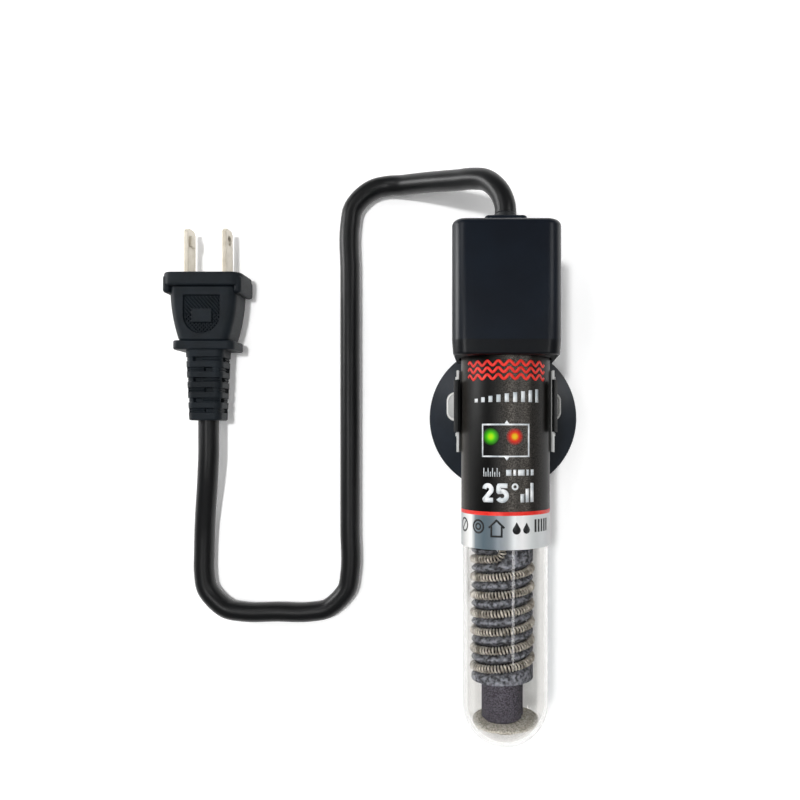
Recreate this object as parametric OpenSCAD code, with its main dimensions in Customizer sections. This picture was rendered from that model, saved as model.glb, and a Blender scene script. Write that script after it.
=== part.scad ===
// Submersible aquarium heater: a clear glass tube with a wound ceramic element,
// a moulded head, a suction-cup holder that slides and turns on the tube,
// and a two-blade plug on a short lead.
// The origin is the middle of the suction cup on the plane that it grips.
// The tube lies along Y with its head towards +Y, and +Z points away from that plane.

/* [Glass tube] */
// Height of the tube's axis above the suction plane
axis_h = 30; // [29:0.25:33]
// Outer radius of the glass tube
glass_r = 13; // [12.6:0.1:13.6]
// Thickness of the glass wall
glass_wall = 1.2; // [0.9:0.1:1.5]
// Distance from the cup's middle to the centre of the round glass end
dome_y = 87; // [84:0.5:95]
// Distance from the cup's middle to the open end of the glass
glass_open_y = 38; // [36:0.5:40]

/* [Printed sleeve] */
// Thickness of the printed sleeve round the glass
label_wall = 0.4; // [0.2:0.05:0.5]
// Distance from the cup's middle to the sleeve's lower edge
label_low_y = 38.9; // [34:0.5:40]
// Distance from the cup's middle to the sleeve's upper edge, inside the head
label_top_y = 24; // [20:0.5:26]
// Radial clearance between the glass and the sleeve
label_clear = 0.05; // [0.02:0.01:0.1]

/* [Head] */
// Width of the head across the front
head_w = 31.6; // [31:0.2:38]
// Depth of the head from front to back
head_d = 30.6; // [30:0.2:36]
// Height of the head along the tube, without the cord boss
head_l = 39; // [37:0.5:50]
// Distance from the cup's middle to the head's lower rim
head_y = 17; // [15.5:0.5:18]
// Radius of the head's long edges
head_corner_r = 5.5; // [4.5:0.25:7]
// Rounding of the head's top edge
head_round = 2.5; // [1:0.25:3.5]
// Height of the tapered skirt at the lower rim
skirt_h = 4.3; // [3:0.1:6]
// Inward taper of the skirt at each side
skirt_taper = 0.5; // [0.4:0.1:1]
// Radius of the socket that the tube goes into
socket_r = 14.2; // [14.1:0.05:14.4]
// Radius of the wiring space above the tube
wiring_r = 11.5; // [9:0.25:12.5]
// Thickness of the head's roof
roof = 5; // [4:0.5:7]
// Height of the cord boss
boss_h = 3.3; // [2:0.1:6]
// Width of the square cord boss at its foot
boss_low_w = 13.6; // [12.6:0.2:18]
// Width of the cord boss at its top
boss_top_w = 12.4; // [10:0.2:12.6]
// Corner radius of the cord boss
boss_corner_r = 2; // [1:0.25:4]

/* [Seals] */
// Clearance between each seal ring and the walls that it touches
seal_clear = 0.03; // [0.01:0.01:0.08]
// Distance from the head's rim to the first seal ring
seal_start = 10.5; // [9:0.5:12]
// Spacing of the two seal rings
seal_step = 5; // [3:0.5:6]
// Depth of the stopper inside the glass
stopper_l = 7; // [5:0.5:9]
// Thickness of the stopper's flange over the glass rim
stopper_flange = 2.6; // [1.5:0.1:2.8]
// Radial clearance of the stopper in the glass
stopper_clear = 0.08; // [0.02:0.01:0.2]
// Radius of the cord gland's neck
gland_r = 3.45; // [3.35:0.05:4.5]
// Radius of the cord gland's inner flange
gland_flange_r = 6; // [5:0.25:8]
// Thickness of the cord gland's inner flange
gland_flange = 2; // [1.5:0.25:3]
// Length of the gland's neck that stands out of the boss
gland_out = 2.2; // [1:0.2:2.2]
// Radial clearance of the gland in the head
gland_clear = 0.05; // [0.02:0.01:0.15]

/* [Circuit] */
// Width of the circuit board
board_w = 19; // [16:0.5:20]
// Thickness of the circuit board
board_t = 1.6; // [1:0.2:2]
// Depth of the stopper's slot that holds the board
board_slot = 1; // [0.5:0.25:2]
// Free height between the winding's upper terminal and the heat shield
terminal_gap = 2.5; // [1:0.25:4]
// Thickness of the heat shield
shield_t = 2; // [1.5:0.25:2.5]
// Radial clearance of the heat shield in the glass
shield_clear = 0.15; // [0.05:0.05:0.4]
// Distance of both indicator lamps below the cup's middle
lamp_y = 6.2; // [5:0.2:8]
// Sideways place of the power lamp
lamp_green_x = -4.6; // [-5.5:0.1:-3.5]
// Sideways place of the heating lamp
lamp_red_x = 2.4; // [2:0.1:4]
// Radius of each indicator lamp
lamp_r = 1.5; // [1.2:0.1:1.6]
// Distance from the board's middle plane to a lamp's tip
lamp_reach = 10.2; // [8:0.1:10.3]
// Radius of the insulated supply leads
lead_r = 0.8; // [0.6:0.05:0.9]
// Distance of each supply lead from the middle
lead_spread = 3; // [2:0.25:4]

/* [Heating element] */
// Sideways offset of the element in the tube
element_shift = 1; // [0:0.1:1.2]
// Radius of the ceramic core rod
core_r = 6.3; // [5.8:0.1:6.5]
// Crest radius of the ribbed ceramic former
crest_r = 9.4; // [9:0.05:9.5]
// Depth of the former's winding groove
groove_depth = 2.2; // [2.15:0.05:2.3]
// Radial clearance between the former and the core rod
former_clear = 0.05; // [0.02:0.01:0.1]
// Radius of the heating winding, to the middle of its strand
coil_r = 8.7; // [8.65:0.01:8.75]
// Radius of the winding's strand
strand_r = 1.25; // [1:0.01:1.25]
// Rise of the winding in one turn
coil_pitch = 5.37; // [5:0.01:5.6]
// Full turns between the lowest and the highest strand at the front
coil_turns = 6; // [4:1:6]
// Distance from the cup's middle to the lowest strand at the front
coil_low_y = 74.3; // [74:0.1:76]
// Height of the former's plain edge past the winding's bend at each end
former_edge = 0.2; // [0:0.1:1]
// Length of the core rod past the middle of the round end
core_in_dome = 4.8; // [3:0.1:5]
// Clearance between the end pad and the glass
pad_clear = 0.2; // [0.1:0.05:0.4]
// Thickness of the end pad's rim
pad_rim = 0.7; // [0.4:0.1:1]
// Depth of the end pad's cone below its rim
pad_cone = 3; // [2:0.25:3.5]
// Radius of the end pad's tip
pad_tip_r = 4.5; // [3:0.25:6]
// Radius of the crimped sleeve on each end of the winding
terminal_r = 1.4; // [1.3:0.05:1.6]
// Length of each crimped sleeve
terminal_l = 3.2; // [2.5:0.1:4]
// Width of the wire grooves along the core rod
groove_w = 2; // [1.9:0.1:2.6]
// Depth of the wire grooves along the core rod
groove_in = 1.8; // [1.8:0.1:2.4]

/* [Holder] */
// Radial clearance of the grip liner on the printed sleeve
grip_clear = 0.05; // [0.02:0.01:0.1]
// Thickness of the grip liner
liner_wall = 1.4; // [1:0.1:1.5]
// Lower end of the grip liner
liner_low_y = -11.1; // [-13:0.1:-10]
// Upper end of the grip liner
liner_top_y = 13.6; // [12:0.1:13.6]
// Angle that each edge of the liner rises above the tube's middle
liner_rise = 8; // [0:1:14]
// Height of the two ridges that keep the clip in place
ridge_h = 0.35; // [0.2:0.05:0.6]
// Radial clearance of the clip on the liner
clip_clear = 0.05; // [0.02:0.01:0.1]
// Thickness of the clip's arms
clip_wall = 0.8; // [0.8:0.05:1.4]
// Lower end of the clip's arms
clip_low_y = -5; // [-6:0.1:-4.5]
// Upper end of the clip's arms
clip_top_y = 10.5; // [9:0.1:11]
// Angle that each arm rises above the tube's middle
clip_rise = 25; // [16:1:40]
// End gap between the clip and each ridge
ridge_gap = 0.3; // [0.2:0.05:0.5]
// Depth of the relief behind each front edge of the liner
edge_gap = 0.7; // [0.3:0.1:0.9]
// Radius of the clip's round foot
foot_r = 8.4; // [8:0.1:9]
// Half width of the ear plate
ear_half_w = 19; // [17:0.25:21]
// Length of each ear along the tube
ear_l = 9.7; // [7:0.1:11]
// Distance of the ears' middle above the cup's middle
ear_y = 3.5; // [2:0.25:4]
// Thickness of the ear plate
plate_t = 2.8; // [2.2:0.1:3]
// Radius of the plate's round middle
plate_r = 9.6; // [9:0.1:11]

/* [Suction cup] */
// Radius of the suction cup's rim
cup_r = 25.5; // [20:0.5:26]
// Height of the cup's shoulder above the suction plane
cup_h = 8.2; // [7.5:0.1:8.4]
// Thickness of the cup's lip
lip_t = 1; // [0.6:0.1:1.6]
// Width of the flat sealing ring
lip_w = 1.8; // [1:0.1:3]
// Depth of the hollow under the cup
hollow_h = 3.4; // [2:0.1:3.8]
// Radius of the cup's shoulder
shoulder_r = 8; // [7:0.25:9]
// Radius of the cup's neck in the ear plate
neck_r = 4; // [3.4:0.1:4.6]
// Radius of the cup's snap knob
knob_r = 5.5; // [5:0.1:5.9]
// Height of the cup's snap knob
knob_h = 1.9; // [1.4:0.1:2.1]
// Radial running clearance of the neck in the ear plate
swivel_clear = 0.06; // [0.02:0.01:0.1]
// Gap between soft and hard pieces that turn on each other
turn_gap = 0.3; // [0.2:0.05:0.35]

/* [Lead and plug] */
// Diameter of the lead
cord_d = 6.6; // [5.5:0.1:6.8]
// Distance between the two blades' middles
blade_gap = 12.7; // [12.7:0.1:13]
// Thickness of each blade
blade_t = 1.5; // [1.3:0.1:1.6]
// Width of each blade
blade_w = 6.35; // [6:0.05:7]
// Length of each blade outside the plug
blade_l = 15.5; // [15:0.1:18]
// Length of each blade inside the plug
blade_in = 9; // [7:0.25:10]
// Radius of the hole near each blade's tip
blade_hole_r = 1.6; // [1:0.1:1.8]
// Distance from each blade's tip to the middle of its hole
blade_hole_in = 3.8; // [3:0.1:5]
// Height of the plug's middle above the suction plane
plug_h = 7.2; // [7.2:0.1:8]
// Width of the plug's front flange
flange_w = 26; // [24:0.5:30]
// Thickness of the plug's front flange from top to bottom
flange_d = 14.2; // [13.4:0.1:14.4]
// Length of the plug's front flange along the blades
flange_l = 4.6; // [3.5:0.1:6]
// Width of the plug's body at the flange
plug_w = 22.2; // [20:0.2:23]
// Width of the plug's body at the collar
plug_waist = 16.4; // [14:0.2:18]
// Thickness of the plug's body
plug_d = 12.4; // [11:0.1:12.8]
// Length of the plug's body between the flange and the collar
plug_l = 17.8; // [16:0.2:20]
// Length of the contact carrier behind the blades
insert_l = 8; // [6:0.25:8.5]
// Thickness of the contact carrier round the blades
insert_wall = 1.2; // [0.8:0.1:1.3]
// Width of the recessed panel on the grip
panel_w = 12; // [10:0.2:13]
// Length of the recessed panel
panel_l = 12.6; // [12:0.2:14]
// Depth of the recessed panel
panel_in = 0.6; // [0.3:0.05:0.8]
// Width of the raised block in the panel
badge_w = 6.7; // [5:0.1:7]
// Length of the raised block in the panel
badge_l = 4.6; // [3:0.1:5]
// Width of the plug's collar
collar_w = 20.4; // [19:0.2:22]
// Thickness of the plug's collar from top to bottom
collar_d = 11.6; // [11:0.1:13]
// Length of the plug's collar
collar_l = 3; // [2:0.1:4]
// Width of the strain relief where it leaves the collar
relief_w = 12.7; // [11:0.1:13]
// Width of the strain relief at its tail
relief_tail_w = 10.9; // [9:0.1:11]
// Thickness of the strain relief where it leaves the collar
relief_d = 10.4; // [9.8:0.1:10.8]
// Thickness of the strain relief at its tail
relief_tail_d = 9.2; // [8.8:0.1:9.8]
// Length of the strain relief
relief_l = 23.4; // [22:0.2:28]
// Rows of slots in the strain relief
relief_rows = 6; // [4:1:6]
// Spacing of the slot rows
relief_pitch = 3.4; // [3:0.1:3.6]
// Height of one slot
relief_slot = 1.35; // [0.8:0.05:1.8]
// Width of one slot
relief_slot_w = 3; // [2:0.1:4]
// Distance of a slot's middle from the middle of its face
relief_slot_x = 2; // [1.5:0.1:2.5]
// Depth of the thin groove beside each slot
relief_groove_in = 0.5; // [0.2:0.05:0.8]
// Height of that groove
relief_groove = 0.6; // [0.3:0.05:0.8]

/* [Hidden] */
$fn = 72;
hull_fn = 32;      // facets of a hull's own children
sheet = 0.02;      // thickness of a slice that a hull joins
reach = 1;         // length that a cutter runs past a face
hole_clear = 0.1;  // clearance round leads and the board where they pass through a piece
front = -1;        // the board's side towards the printed front
back = 1;

// Colours
clear_glass = "#e8eef0";
sleeve_black = "#1b1b1c";
ink_black = "#1f242c";
soft_black = "#17191c";
slate = "#2b323a";
light_grey = "#b9bbbd";
lead_red = "#8c2f2a";
board_green = "#2f5d43";
lens_green = "#49c53a";
lens_red = "#d9322a";
amber = "#b8861f";
can_blue = "#27467a";
epoxy_black = "#2a2a2c";
resistor_tan = "#c9a97a";
bead_brown = "#3a2a22";
tinned = "#c8c8c4";
fibre_cream = "#c9c1ae";
glass_yarn = "#cfcab8";
brass = "#c9b06a";
ceramic_grey = "#55525a";
strand_grey = "#b3aca2";
pad_beige = "#a39d95";
carrier_grey = "#6c6e70";
nickel = "#d8d4cc";
copper = "#b98b52";

// Glass, sleeve and head
glass_in_r = glass_r - glass_wall;
label_in_r = glass_r + label_clear;
label_r = label_in_r + label_wall;
head_top_y = head_y + head_l;
boss_top_y = head_top_y + boss_h;
flange_top_y = glass_open_y + stopper_flange;
stopper_gap = 0.4;                        // free height above the stopper in the head
socket_top_y = flange_top_y + stopper_gap;
wiring_top_y = head_top_y - roof;
gland_top_y = boss_top_y + gland_out;
gland_low_y = wiring_top_y - gland_flange;

// Winding
former_bore_r = core_r + former_clear;
core_low_y = dome_y + core_in_dome;       // measured towards the glass tip
coil_rings = 24;                          // rings in one loop
coil_sides = 6;
climb = atan(coil_pitch / (2 * PI * coil_r));
bend_r = 2.6;                             // bend where the strand turns along the tube
bend_step = 12;
front_angle = 270;
low_end_angle = 90;
high_end_angle = front_angle + 360 * coil_turns;
bend_turn = bend_r * (1 - sin(climb)) / (PI * coil_r) * 180;
helix_start = low_end_angle + bend_turn;
helix_end = high_end_angle - bend_turn;
strand_end = 2 * strand_r;                // straight length at each end
low_bend_y = strand_height(helix_start) - bend_r * cos(climb);
high_bend_y = strand_height(helix_end) + bend_r * cos(climb);
low_end_y = low_bend_y - strand_end;
high_end_y = high_bend_y + strand_end;
former_low_y = former_edge - low_bend_y;
former_top_y = -high_bend_y - former_edge;
return_r = core_r - groove_in + lead_r;   // return lead, which lies on the groove's floor
former_cols = 32;
former_rows = 48;
groove_shape = 3.2;                       // higher values widen the groove's floor

// Circuit
board_top_y = glass_open_y - stopper_l + board_slot;
board_face = board_t / 2;
stopper_low_y = glass_open_y - stopper_l;
lead_low_y = 19;                          // supply leads are soldered down to here
shield_low_y = -high_end_y - terminal_l - terminal_gap;  // measured towards the glass tip
shield_y = shield_low_y - shield_t;
core_top_y = shield_low_y;
board_end = -shield_y;                    // the board's lower end stands on the shield
solder_y = board_end + 2.5;               // the winding's leads are soldered here
shield_r = glass_in_r - shield_clear;
leg_r = 0.3;                              // wire legs of the small parts

// Parts on the board: place as [sideways, along the tube], size as [width, length, height]
chip_at = [4, 10];
chip_size = [6.3, 9.4, 3.2];
dropper_at = [-1, 2];
dropper_size = [12, 15, 6];
can_at = [-3.5, 14];
triac_at = [0, board_end + 13.3];
triac_size = [10, 9, 4.4];
tab_at = [0, board_end + 6.3];
tab_size = [10, 5.2, 1.3];
resistor_at = [-6, -17];
thermistor_at = [7.6, board_end + 9.5];
fuse_at = [-6.5, -2];

// End pad: its rim's lower edge lies against the round glass end
pad_low_y = core_low_y + pad_rim;
pad_r = sqrt(pow(glass_in_r - pad_clear, 2) - pow(pad_low_y - dome_y, 2));

// Holder
liner_in_r = label_r + grip_clear;
liner_r = liner_in_r + liner_wall;
clip_in_r = liner_r + clip_clear;
clip_r = clip_in_r + clip_wall;
plate_low = cup_h + turn_gap;
plate_top = plate_low + plate_t;
knob_low = plate_top + turn_gap;
knob_top = knob_low + knob_h;
pocket_top = knob_top + turn_gap;

// Lead and plug
cord_r = cord_d / 2;
plug_x = -99.5;
plug_tail_y = -1;                         // where the lead leaves the strain relief
collar_y = plug_tail_y + relief_l;
plug_y = collar_y + collar_l;
flange_y = plug_y + plug_l;
blade_y = flange_y + flange_l;
crimp_r = 1.5;
insert_front = 2;                         // the carrier's end lies this far behind the flange

cord_sides = 10;
// The lead's middle line, from the gland down to the surface, round and up into the plug
cord_route = [
    [0, gland_top_y, axis_h],
    [0, 63, 30], [-1, 67, 29.5], [-3, 70.5, 28], [-6, 73.5, 25.5], [-10, 75, 22.5],
    [-15, 76, 18.5], [-20, 77, 14.8], [-25, 78, 11], [-30, 78.8, 7.5], [-34.5, 79.3, 4.8],
    [-39, 79.5, 3.6], [-44, 78.5, 3.4], [-48.5, 75.5, 3.4], [-51.5, 71.5, 3.4], [-52.5, 66, 3.4],
    [-52.5, 50, 3.4], [-52.5, 32, 3.4], [-52.5, 14, 3.4], [-52.5, -4, 3.4], [-52.5, -22, 3.4],
    [-52.5, -38, 3.4], [-52.5, -53, 3.4], [-53.5, -58.5, 3.4], [-56.5, -62.5, 3.4],
    [-60.5, -65.5, 3.4], [-66, -66.5, 3.4], [-77.5, -66.5, 3.4], [-89, -66.5, 3.4],
    [-94.5, -65.5, 3.4], [-98.5, -62.5, 3.4], [-101.5, -58.5, 3.4], [-102.5, -53, 3.4],
    [-102.5, -46, 3.4], [-102.3, -40, 3.6], [-101.7, -33, 4.4], [-100.8, -26, 5.5],
    [-100, -19, 6.6], [plug_x, -12, plug_h], [plug_x, -7, plug_h], [plug_x, plug_tail_y, plug_h]];

// ---- Placing ----

// Turns a piece drawn along Z so that it lies along the heater's tube
module along_tube() {
    translate([0, 0, axis_h]) rotate([-90, 0, 0]) children();
}

// Shifts a piece drawn along the tube to the heating element's own axis
module along_element() {
    along_tube() translate([-element_shift, 0, 0]) children();
}

// Turns a piece drawn along Z so that it lies along the plug
module along_plug() {
    translate([plug_x, 0, plug_h]) rotate([-90, 0, 0]) children();
}

// Corners of a block with round edges, from height low to height high
module corners(w, d, r, low, high) {
    for (sx = [-1, 1], sy = [-1, 1])
        translate([sx * (w / 2 - r), sy * (d / 2 - r), low])
            cylinder(h = high - low, r = r, $fn = hull_fn);
}

// Corners of a thin slice at height z
module slice(w, d, r, z) {
    corners(w, d, r, z, z + sheet);
}

// Ring between two radii
module ring(r_out, r_in, low, high) {
    translate([0, 0, low]) difference() {
        cylinder(h = high - low, r = r_out);
        translate([0, 0, -reach]) cylinder(h = high - low + 2 * reach, r = r_in);
    }
}

// Part of a ring that is open at the front, whose edges rise past the tube's middle
module open_ring(r_out, r_in, low, high, rise) {
    translate([0, 0, low]) rotate([0, 0, -rise])
        rotate_extrude(angle = 180 + 2 * rise)
            translate([r_in, 0]) square([r_out - r_in, high - low]);
}

// ---- Swept tubes ----

// Faces of a closed tube of equal rings, with flat ends
function tube_faces(rings, sides) = concat(
    [for (i = [0:rings - 2], j = [0:sides - 1], t = [0, 1])
        let (a = i * sides + j,
             b = i * sides + (j + 1) % sides)
        t == 0 ? [a, b, a + sides] : [b, b + sides, a + sides]],
    [for (j = [1:sides - 2]) [0, j + 1, j]],
    [for (j = [1:sides - 2])
        let (last = (rings - 1) * sides)
        [last, last + j, last + j + 1]]);

// Direction of a route at point i
function heading(route, i) =
    let (last = len(route) - 1,
         step = route[min(i + 1, last)] - route[max(i - 1, 0)])
    step / norm(step);

// Ring of points square to a route at point i
function route_ring(route, i, r, sides) =
    let (along = heading(route, i),
         across = cross(along, [0, 0, 1]) / norm(cross(along, [0, 0, 1])),
         up = cross(across, along))
    [for (j = [0:sides - 1])
        route[i] + r * (cos(360 * j / sides) * across + sin(360 * j / sides) * up)];

// ---- Winding ----

// Height of the winding's middle line at an angle
function strand_height(angle) = -coil_low_y + coil_pitch * (angle - front_angle) / 360;

// Middle line of the winding as [angle, height, direction]: straight end, bend, helix, bend, end.
// The bends are arcs on the winding's cylinder rolled flat.
function bend_point(angle, z, side, turn) =
    [angle + side * bend_r * (sin(turn) - sin(climb)) / (PI * coil_r) * 180,
     z + side * bend_r * (cos(climb) - cos(turn)),
     turn];
function strand_path() = concat(
    [[low_end_angle, low_end_y, 90]],
    [for (turn = [90:-bend_step:climb + bend_step])
        bend_point(helix_start, strand_height(helix_start), -1, turn)],
    [for (i = [0:helix_steps()])
        let (angle = helix_start + (helix_end - helix_start) * i / helix_steps())
        [angle, strand_height(angle), climb]],
    [for (turn = [90:-bend_step:climb + bend_step])
        let (up = 90 + climb + bend_step - turn)
        bend_point(helix_end, strand_height(helix_end), 1, min(up, 90))],
    [[high_end_angle, high_end_y, 90]]);
function helix_steps() = ceil((helix_end - helix_start) * coil_rings / 360);

// Point on the winding's cylinder
function on_coil(p) = [coil_r * cos(p[0]), coil_r * sin(p[0]), p[1]];

// Ring of points square to the winding's middle line
function strand_ring(p) =
    let (out = [cos(p[0]), sin(p[0]), 0],
         round = [-sin(p[0]), cos(p[0]), 0],
         side = sin(p[2]) * round - cos(p[2]) * [0, 0, 1])
    [for (j = [0:coil_sides - 1])
        on_coil(p) + strand_r * (cos(360 * j / coil_sides) * out + sin(360 * j / coil_sides) * side)];

// Least gap between two stretches of the winding that lie at least most of a turn apart
function least_gap(path) =
    let (points = [for (p = path) on_coil(p)],
         apart = round(coil_rings * 0.6))
    min([for (i = [0:len(points) - 1 - apart], j = [i + apart:len(points) - 1])
        norm(points[i] - points[j])]) - 2 * strand_r;

// Distance from a point of the winding's cylinder, rolled flat, to the strand's middle line
function nearest_turn(angle, z) =
    angle + 360 * round(((z + coil_low_y) / coil_pitch * 360 + front_angle - angle) / 360);
function arc_length(angle) = (angle - 360 * round(angle / 360)) * PI / 180 * coil_r;
function helix_distance(angle, z) =
    let (turn = min(max(nearest_turn(angle, z), angle + 360 * ceil((helix_start - angle) / 360)),
                    angle + 360 * floor((helix_end - angle) / 360)))
    abs(z - strand_height(turn)) * cos(climb);

// The same to a bend and the straight end past it; side is -1 at the low end and 1 at the high end
function end_distance(angle, z, side, end_angle, helix_z) =
    let (u = side * arc_length(angle - end_angle) + bend_r,
         v = side * (z - helix_z) - bend_r * cos(climb))
    v >= 0 ? abs(u - bend_r) : u > 0 ? abs(norm([u, v]) - bend_r) : coil_pitch;
function groove_distance(angle, z) = min(
    helix_distance(angle, z),
    end_distance(angle, z, -1, low_end_angle, strand_height(helix_start)),
    end_distance(angle, z, 1, high_end_angle, strand_height(helix_end)));

// Radius of the ribbed former: a smooth groove under the strand, and full radius elsewhere
function former_r(angle, z) =
    let (share = min(groove_distance(angle, z) / (coil_pitch / 2), 1))
    crest_r - groove_depth * (1 - pow(sin(90 * share), groove_shape));

// ---- Heater body ----

module glass_tube() {
    color(clear_glass, 0.35) along_tube() difference() {
        union() {
            translate([0, 0, -dome_y]) sphere(r = glass_r);
            translate([0, 0, -dome_y]) cylinder(h = dome_y + glass_open_y, r = glass_r);
        }
        translate([0, 0, -dome_y]) sphere(r = glass_in_r);
        translate([0, 0, -dome_y]) cylinder(h = dome_y + glass_open_y + reach, r = glass_in_r);
    }
}

module label_sleeve() {
    color(sleeve_black) along_tube() ring(label_r, label_in_r, -label_low_y, label_top_y);
}

module head_shell() {
    color(ink_black) along_tube() difference() {
        union() {
            hull() {
                slice(head_w - 2 * skirt_taper, head_d - 2 * skirt_taper,
                    head_corner_r - skirt_taper, head_y);
                corners(head_w, head_d, head_corner_r, head_y + skirt_h, head_top_y - head_round);
                for (a = [30, 60, 90])
                    slice(head_w - 2 * head_round * (1 - cos(a)), head_d - 2 * head_round * (1 - cos(a)),
                        head_corner_r - head_round * (1 - cos(a)),
                        head_top_y - head_round + head_round * sin(a) - sheet);
            }
            hull() {
                corners(boss_low_w, boss_low_w, boss_corner_r, head_top_y - reach, head_top_y);
                slice(boss_top_w, boss_top_w, boss_corner_r, boss_top_y - sheet);
            }
        }
        translate([0, 0, head_y - reach])
            cylinder(h = socket_top_y - head_y + reach, r = socket_r);
        translate([0, 0, head_y])
            cylinder(h = wiring_top_y - head_y, r = wiring_r);
        translate([0, 0, head_y])
            cylinder(h = boss_top_y - head_y + reach, r = gland_r + gland_clear);
    }
}

module seal_rings() {
    section_r = (socket_r - glass_r) / 2 - seal_clear;
    color(soft_black) along_tube()
        for (i = [0, 1])
            translate([0, 0, head_y + seal_start + i * seal_step])
                rotate_extrude()
                    translate([(socket_r + glass_r) / 2, 0]) circle(r = section_r, $fn = 24);
}

module tube_stopper() {
    flange_clear = 0.3;
    flange_r = socket_r - flange_clear;
    color(slate) along_tube() difference() {
        union() {
            translate([0, 0, stopper_low_y])
                cylinder(h = stopper_l, r = glass_in_r - stopper_clear);
            translate([0, 0, glass_open_y]) cylinder(h = stopper_flange, r = flange_r);
        }
        for (side = [-1, 1])
            translate([side * lead_spread, -board_face - lead_r, stopper_low_y - reach])
                cylinder(h = stopper_l + stopper_flange + 2 * reach, r = lead_r + hole_clear);
        translate([-board_w / 2 - hole_clear, -board_face - hole_clear, stopper_low_y - reach])
            cube([board_w + 2 * hole_clear, board_t + 2 * hole_clear, board_slot + reach]);
    }
}

module cord_gland() {
    color(soft_black) along_tube() {
        translate([0, 0, gland_low_y]) cylinder(h = gland_flange, r = gland_flange_r);
        translate([0, 0, gland_low_y]) cylinder(h = gland_top_y - gland_low_y, r = gland_r);
    }
}

module supply_leads() {
    color(lead_red) along_tube()
        for (side = [-1, 1])
            translate([side * lead_spread, -board_face - lead_r, lead_low_y])
                cylinder(h = gland_low_y - lead_low_y, r = lead_r, $fn = 24);
}

module circuit_board() {
    color(board_green) along_tube()
        translate([-board_w / 2, -board_face, -shield_y])
            cube([board_w, board_t, board_top_y + shield_y]);
}

// Round indicator lamp on two legs
module lamp(x) {
    body_l = 3;
    rim_l = 0.9;
    rim = 0.35;
    leg_gap = 2.54;
    foot = lamp_reach - lamp_r - body_l;
    along_tube() translate([x, 0, -lamp_y]) rotate([90, 0, 0]) {
        translate([0, 0, foot]) cylinder(h = rim_l, r = lamp_r + rim, $fn = 32);
        translate([0, 0, foot]) cylinder(h = body_l, r = lamp_r, $fn = 32);
        translate([0, 0, foot + body_l]) sphere(r = lamp_r, $fn = 32);
        for (side = [-1, 1])
            translate([side * leg_gap / 2, 0, board_face])
                cylinder(h = foot - board_face + rim_l / 2, r = leg_r, $fn = 16);
    }
}

module lamp_green() {
    color(lens_green) lamp(lamp_green_x);
}

module lamp_red() {
    color(lens_red) lamp(lamp_red_x);
}

// Block that stands on the board's front or back
module on_board(at, size, side) {
    translate([at[0] - size[0] / 2, side > 0 ? board_face : -board_face - size[2], at[1] - size[1] / 2])
        cube([size[0], size[2], size[1]]);
}

module control_chip() {
    pins = 4;
    pin_size = [0.9, 0.6, 2];
    pin_step = 2.54;
    pin_out = 3.5;
    color(soft_black) along_tube() {
        on_board(chip_at, chip_size, front);
        for (side = [-1, 1], i = [0:pins - 1])
            on_board(chip_at + [side * pin_out, (i - (pins - 1) / 2) * pin_step], pin_size, front);
    }
}

module dropper_capacitor() {
    color(amber) along_tube() on_board(dropper_at, dropper_size, back);
}

module smoothing_capacitor() {
    can_r = 3.1;
    can_l = 11;
    leg_gap = 2.5;
    leg_l = 2;
    foot_w = 3.2;
    foot_l = 0.5;
    color(can_blue) along_tube() translate([can_at[0], board_face + can_r, can_at[1]]) {
        cylinder(h = can_l, r = can_r, $fn = 32);
        for (side = [-1, 1])
            translate([side * leg_gap / 2, leg_r - can_r, -leg_l])
                cylinder(h = leg_l, r = leg_r, $fn = 16);
        translate([-foot_w / 2, -can_r, -foot_l]) cube([foot_w, can_r, foot_l]);
    }
}

module switching_triac() {
    color(epoxy_black) along_tube() {
        on_board(triac_at, triac_size, back);
        on_board(tab_at, tab_size, back);
    }
}

// Round part that lies on the board's front, on two bent legs
module lying_part(at, r, l, leg_l) {
    translate([at[0], -board_face - r, at[1]]) {
        cylinder(h = l, r = r, $fn = 32);
        translate([0, 0, -leg_l]) cylinder(h = l + 2 * leg_l, r = leg_r, $fn = 16);
        for (z = [-leg_l, l + leg_l - 2 * leg_r])
            translate([-leg_r, 0, z]) cube([2 * leg_r, r, 2 * leg_r]);
    }
}

module board_resistors() {
    count = 3;
    spacing = 3.6;
    body_r = 1.15;
    body_l = 6.3;
    leg_l = 1.6;
    color(resistor_tan) along_tube()
        for (i = [0:count - 1])
            lying_part(resistor_at + [i * spacing, 0], body_r, body_l, leg_l);
}

module thermistor() {
    bead_r = 1.2;
    bead_out = 5.6;
    leg_gap = 1.2;
    color(bead_brown) along_tube()
        translate([thermistor_at[0], -board_face, thermistor_at[1]]) rotate([90, 0, 0]) {
            translate([0, 0, bead_out]) sphere(r = bead_r, $fn = 24);
            for (side = [-1, 1])
                translate([side * leg_gap / 2, 0, 0]) cylinder(h = bead_out, r = leg_r, $fn = 16);
        }
}

module thermal_fuse() {
    case_r = 1.7;
    case_l = 9.5;
    leg_l = 2;
    color(tinned) along_tube() lying_part(fuse_at, case_r, case_l, leg_l);
}

module heat_shield() {
    color(fibre_cream) along_tube() difference() {
        translate([0, 0, -shield_low_y]) cylinder(h = shield_t, r = shield_r);
        translate([-element_shift, 0, 0]) {
            for (spot = [on_coil([high_end_angle, 0]), [0, return_r, 0]])
                translate([spot[0], spot[1], -shield_low_y - reach])
                    cylinder(h = shield_t + 2 * reach, r = lead_r + hole_clear);
        }
    }
}

// Lead with a square foot: a run along the tube and a run out from the middle
module bent_lead(angle, r_in, r_out, run_r, low, high, foot) {
    rotate([0, 0, angle]) {
        translate([run_r, 0, low]) cylinder(h = high - low, r = lead_r, $fn = 24);
        translate([run_r, 0, foot]) sphere(r = lead_r, $fn = 24);
        translate([r_in, 0, foot]) rotate([0, 90, 0])
            cylinder(h = r_out - r_in, r = lead_r, $fn = 24);
    }
}

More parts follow.
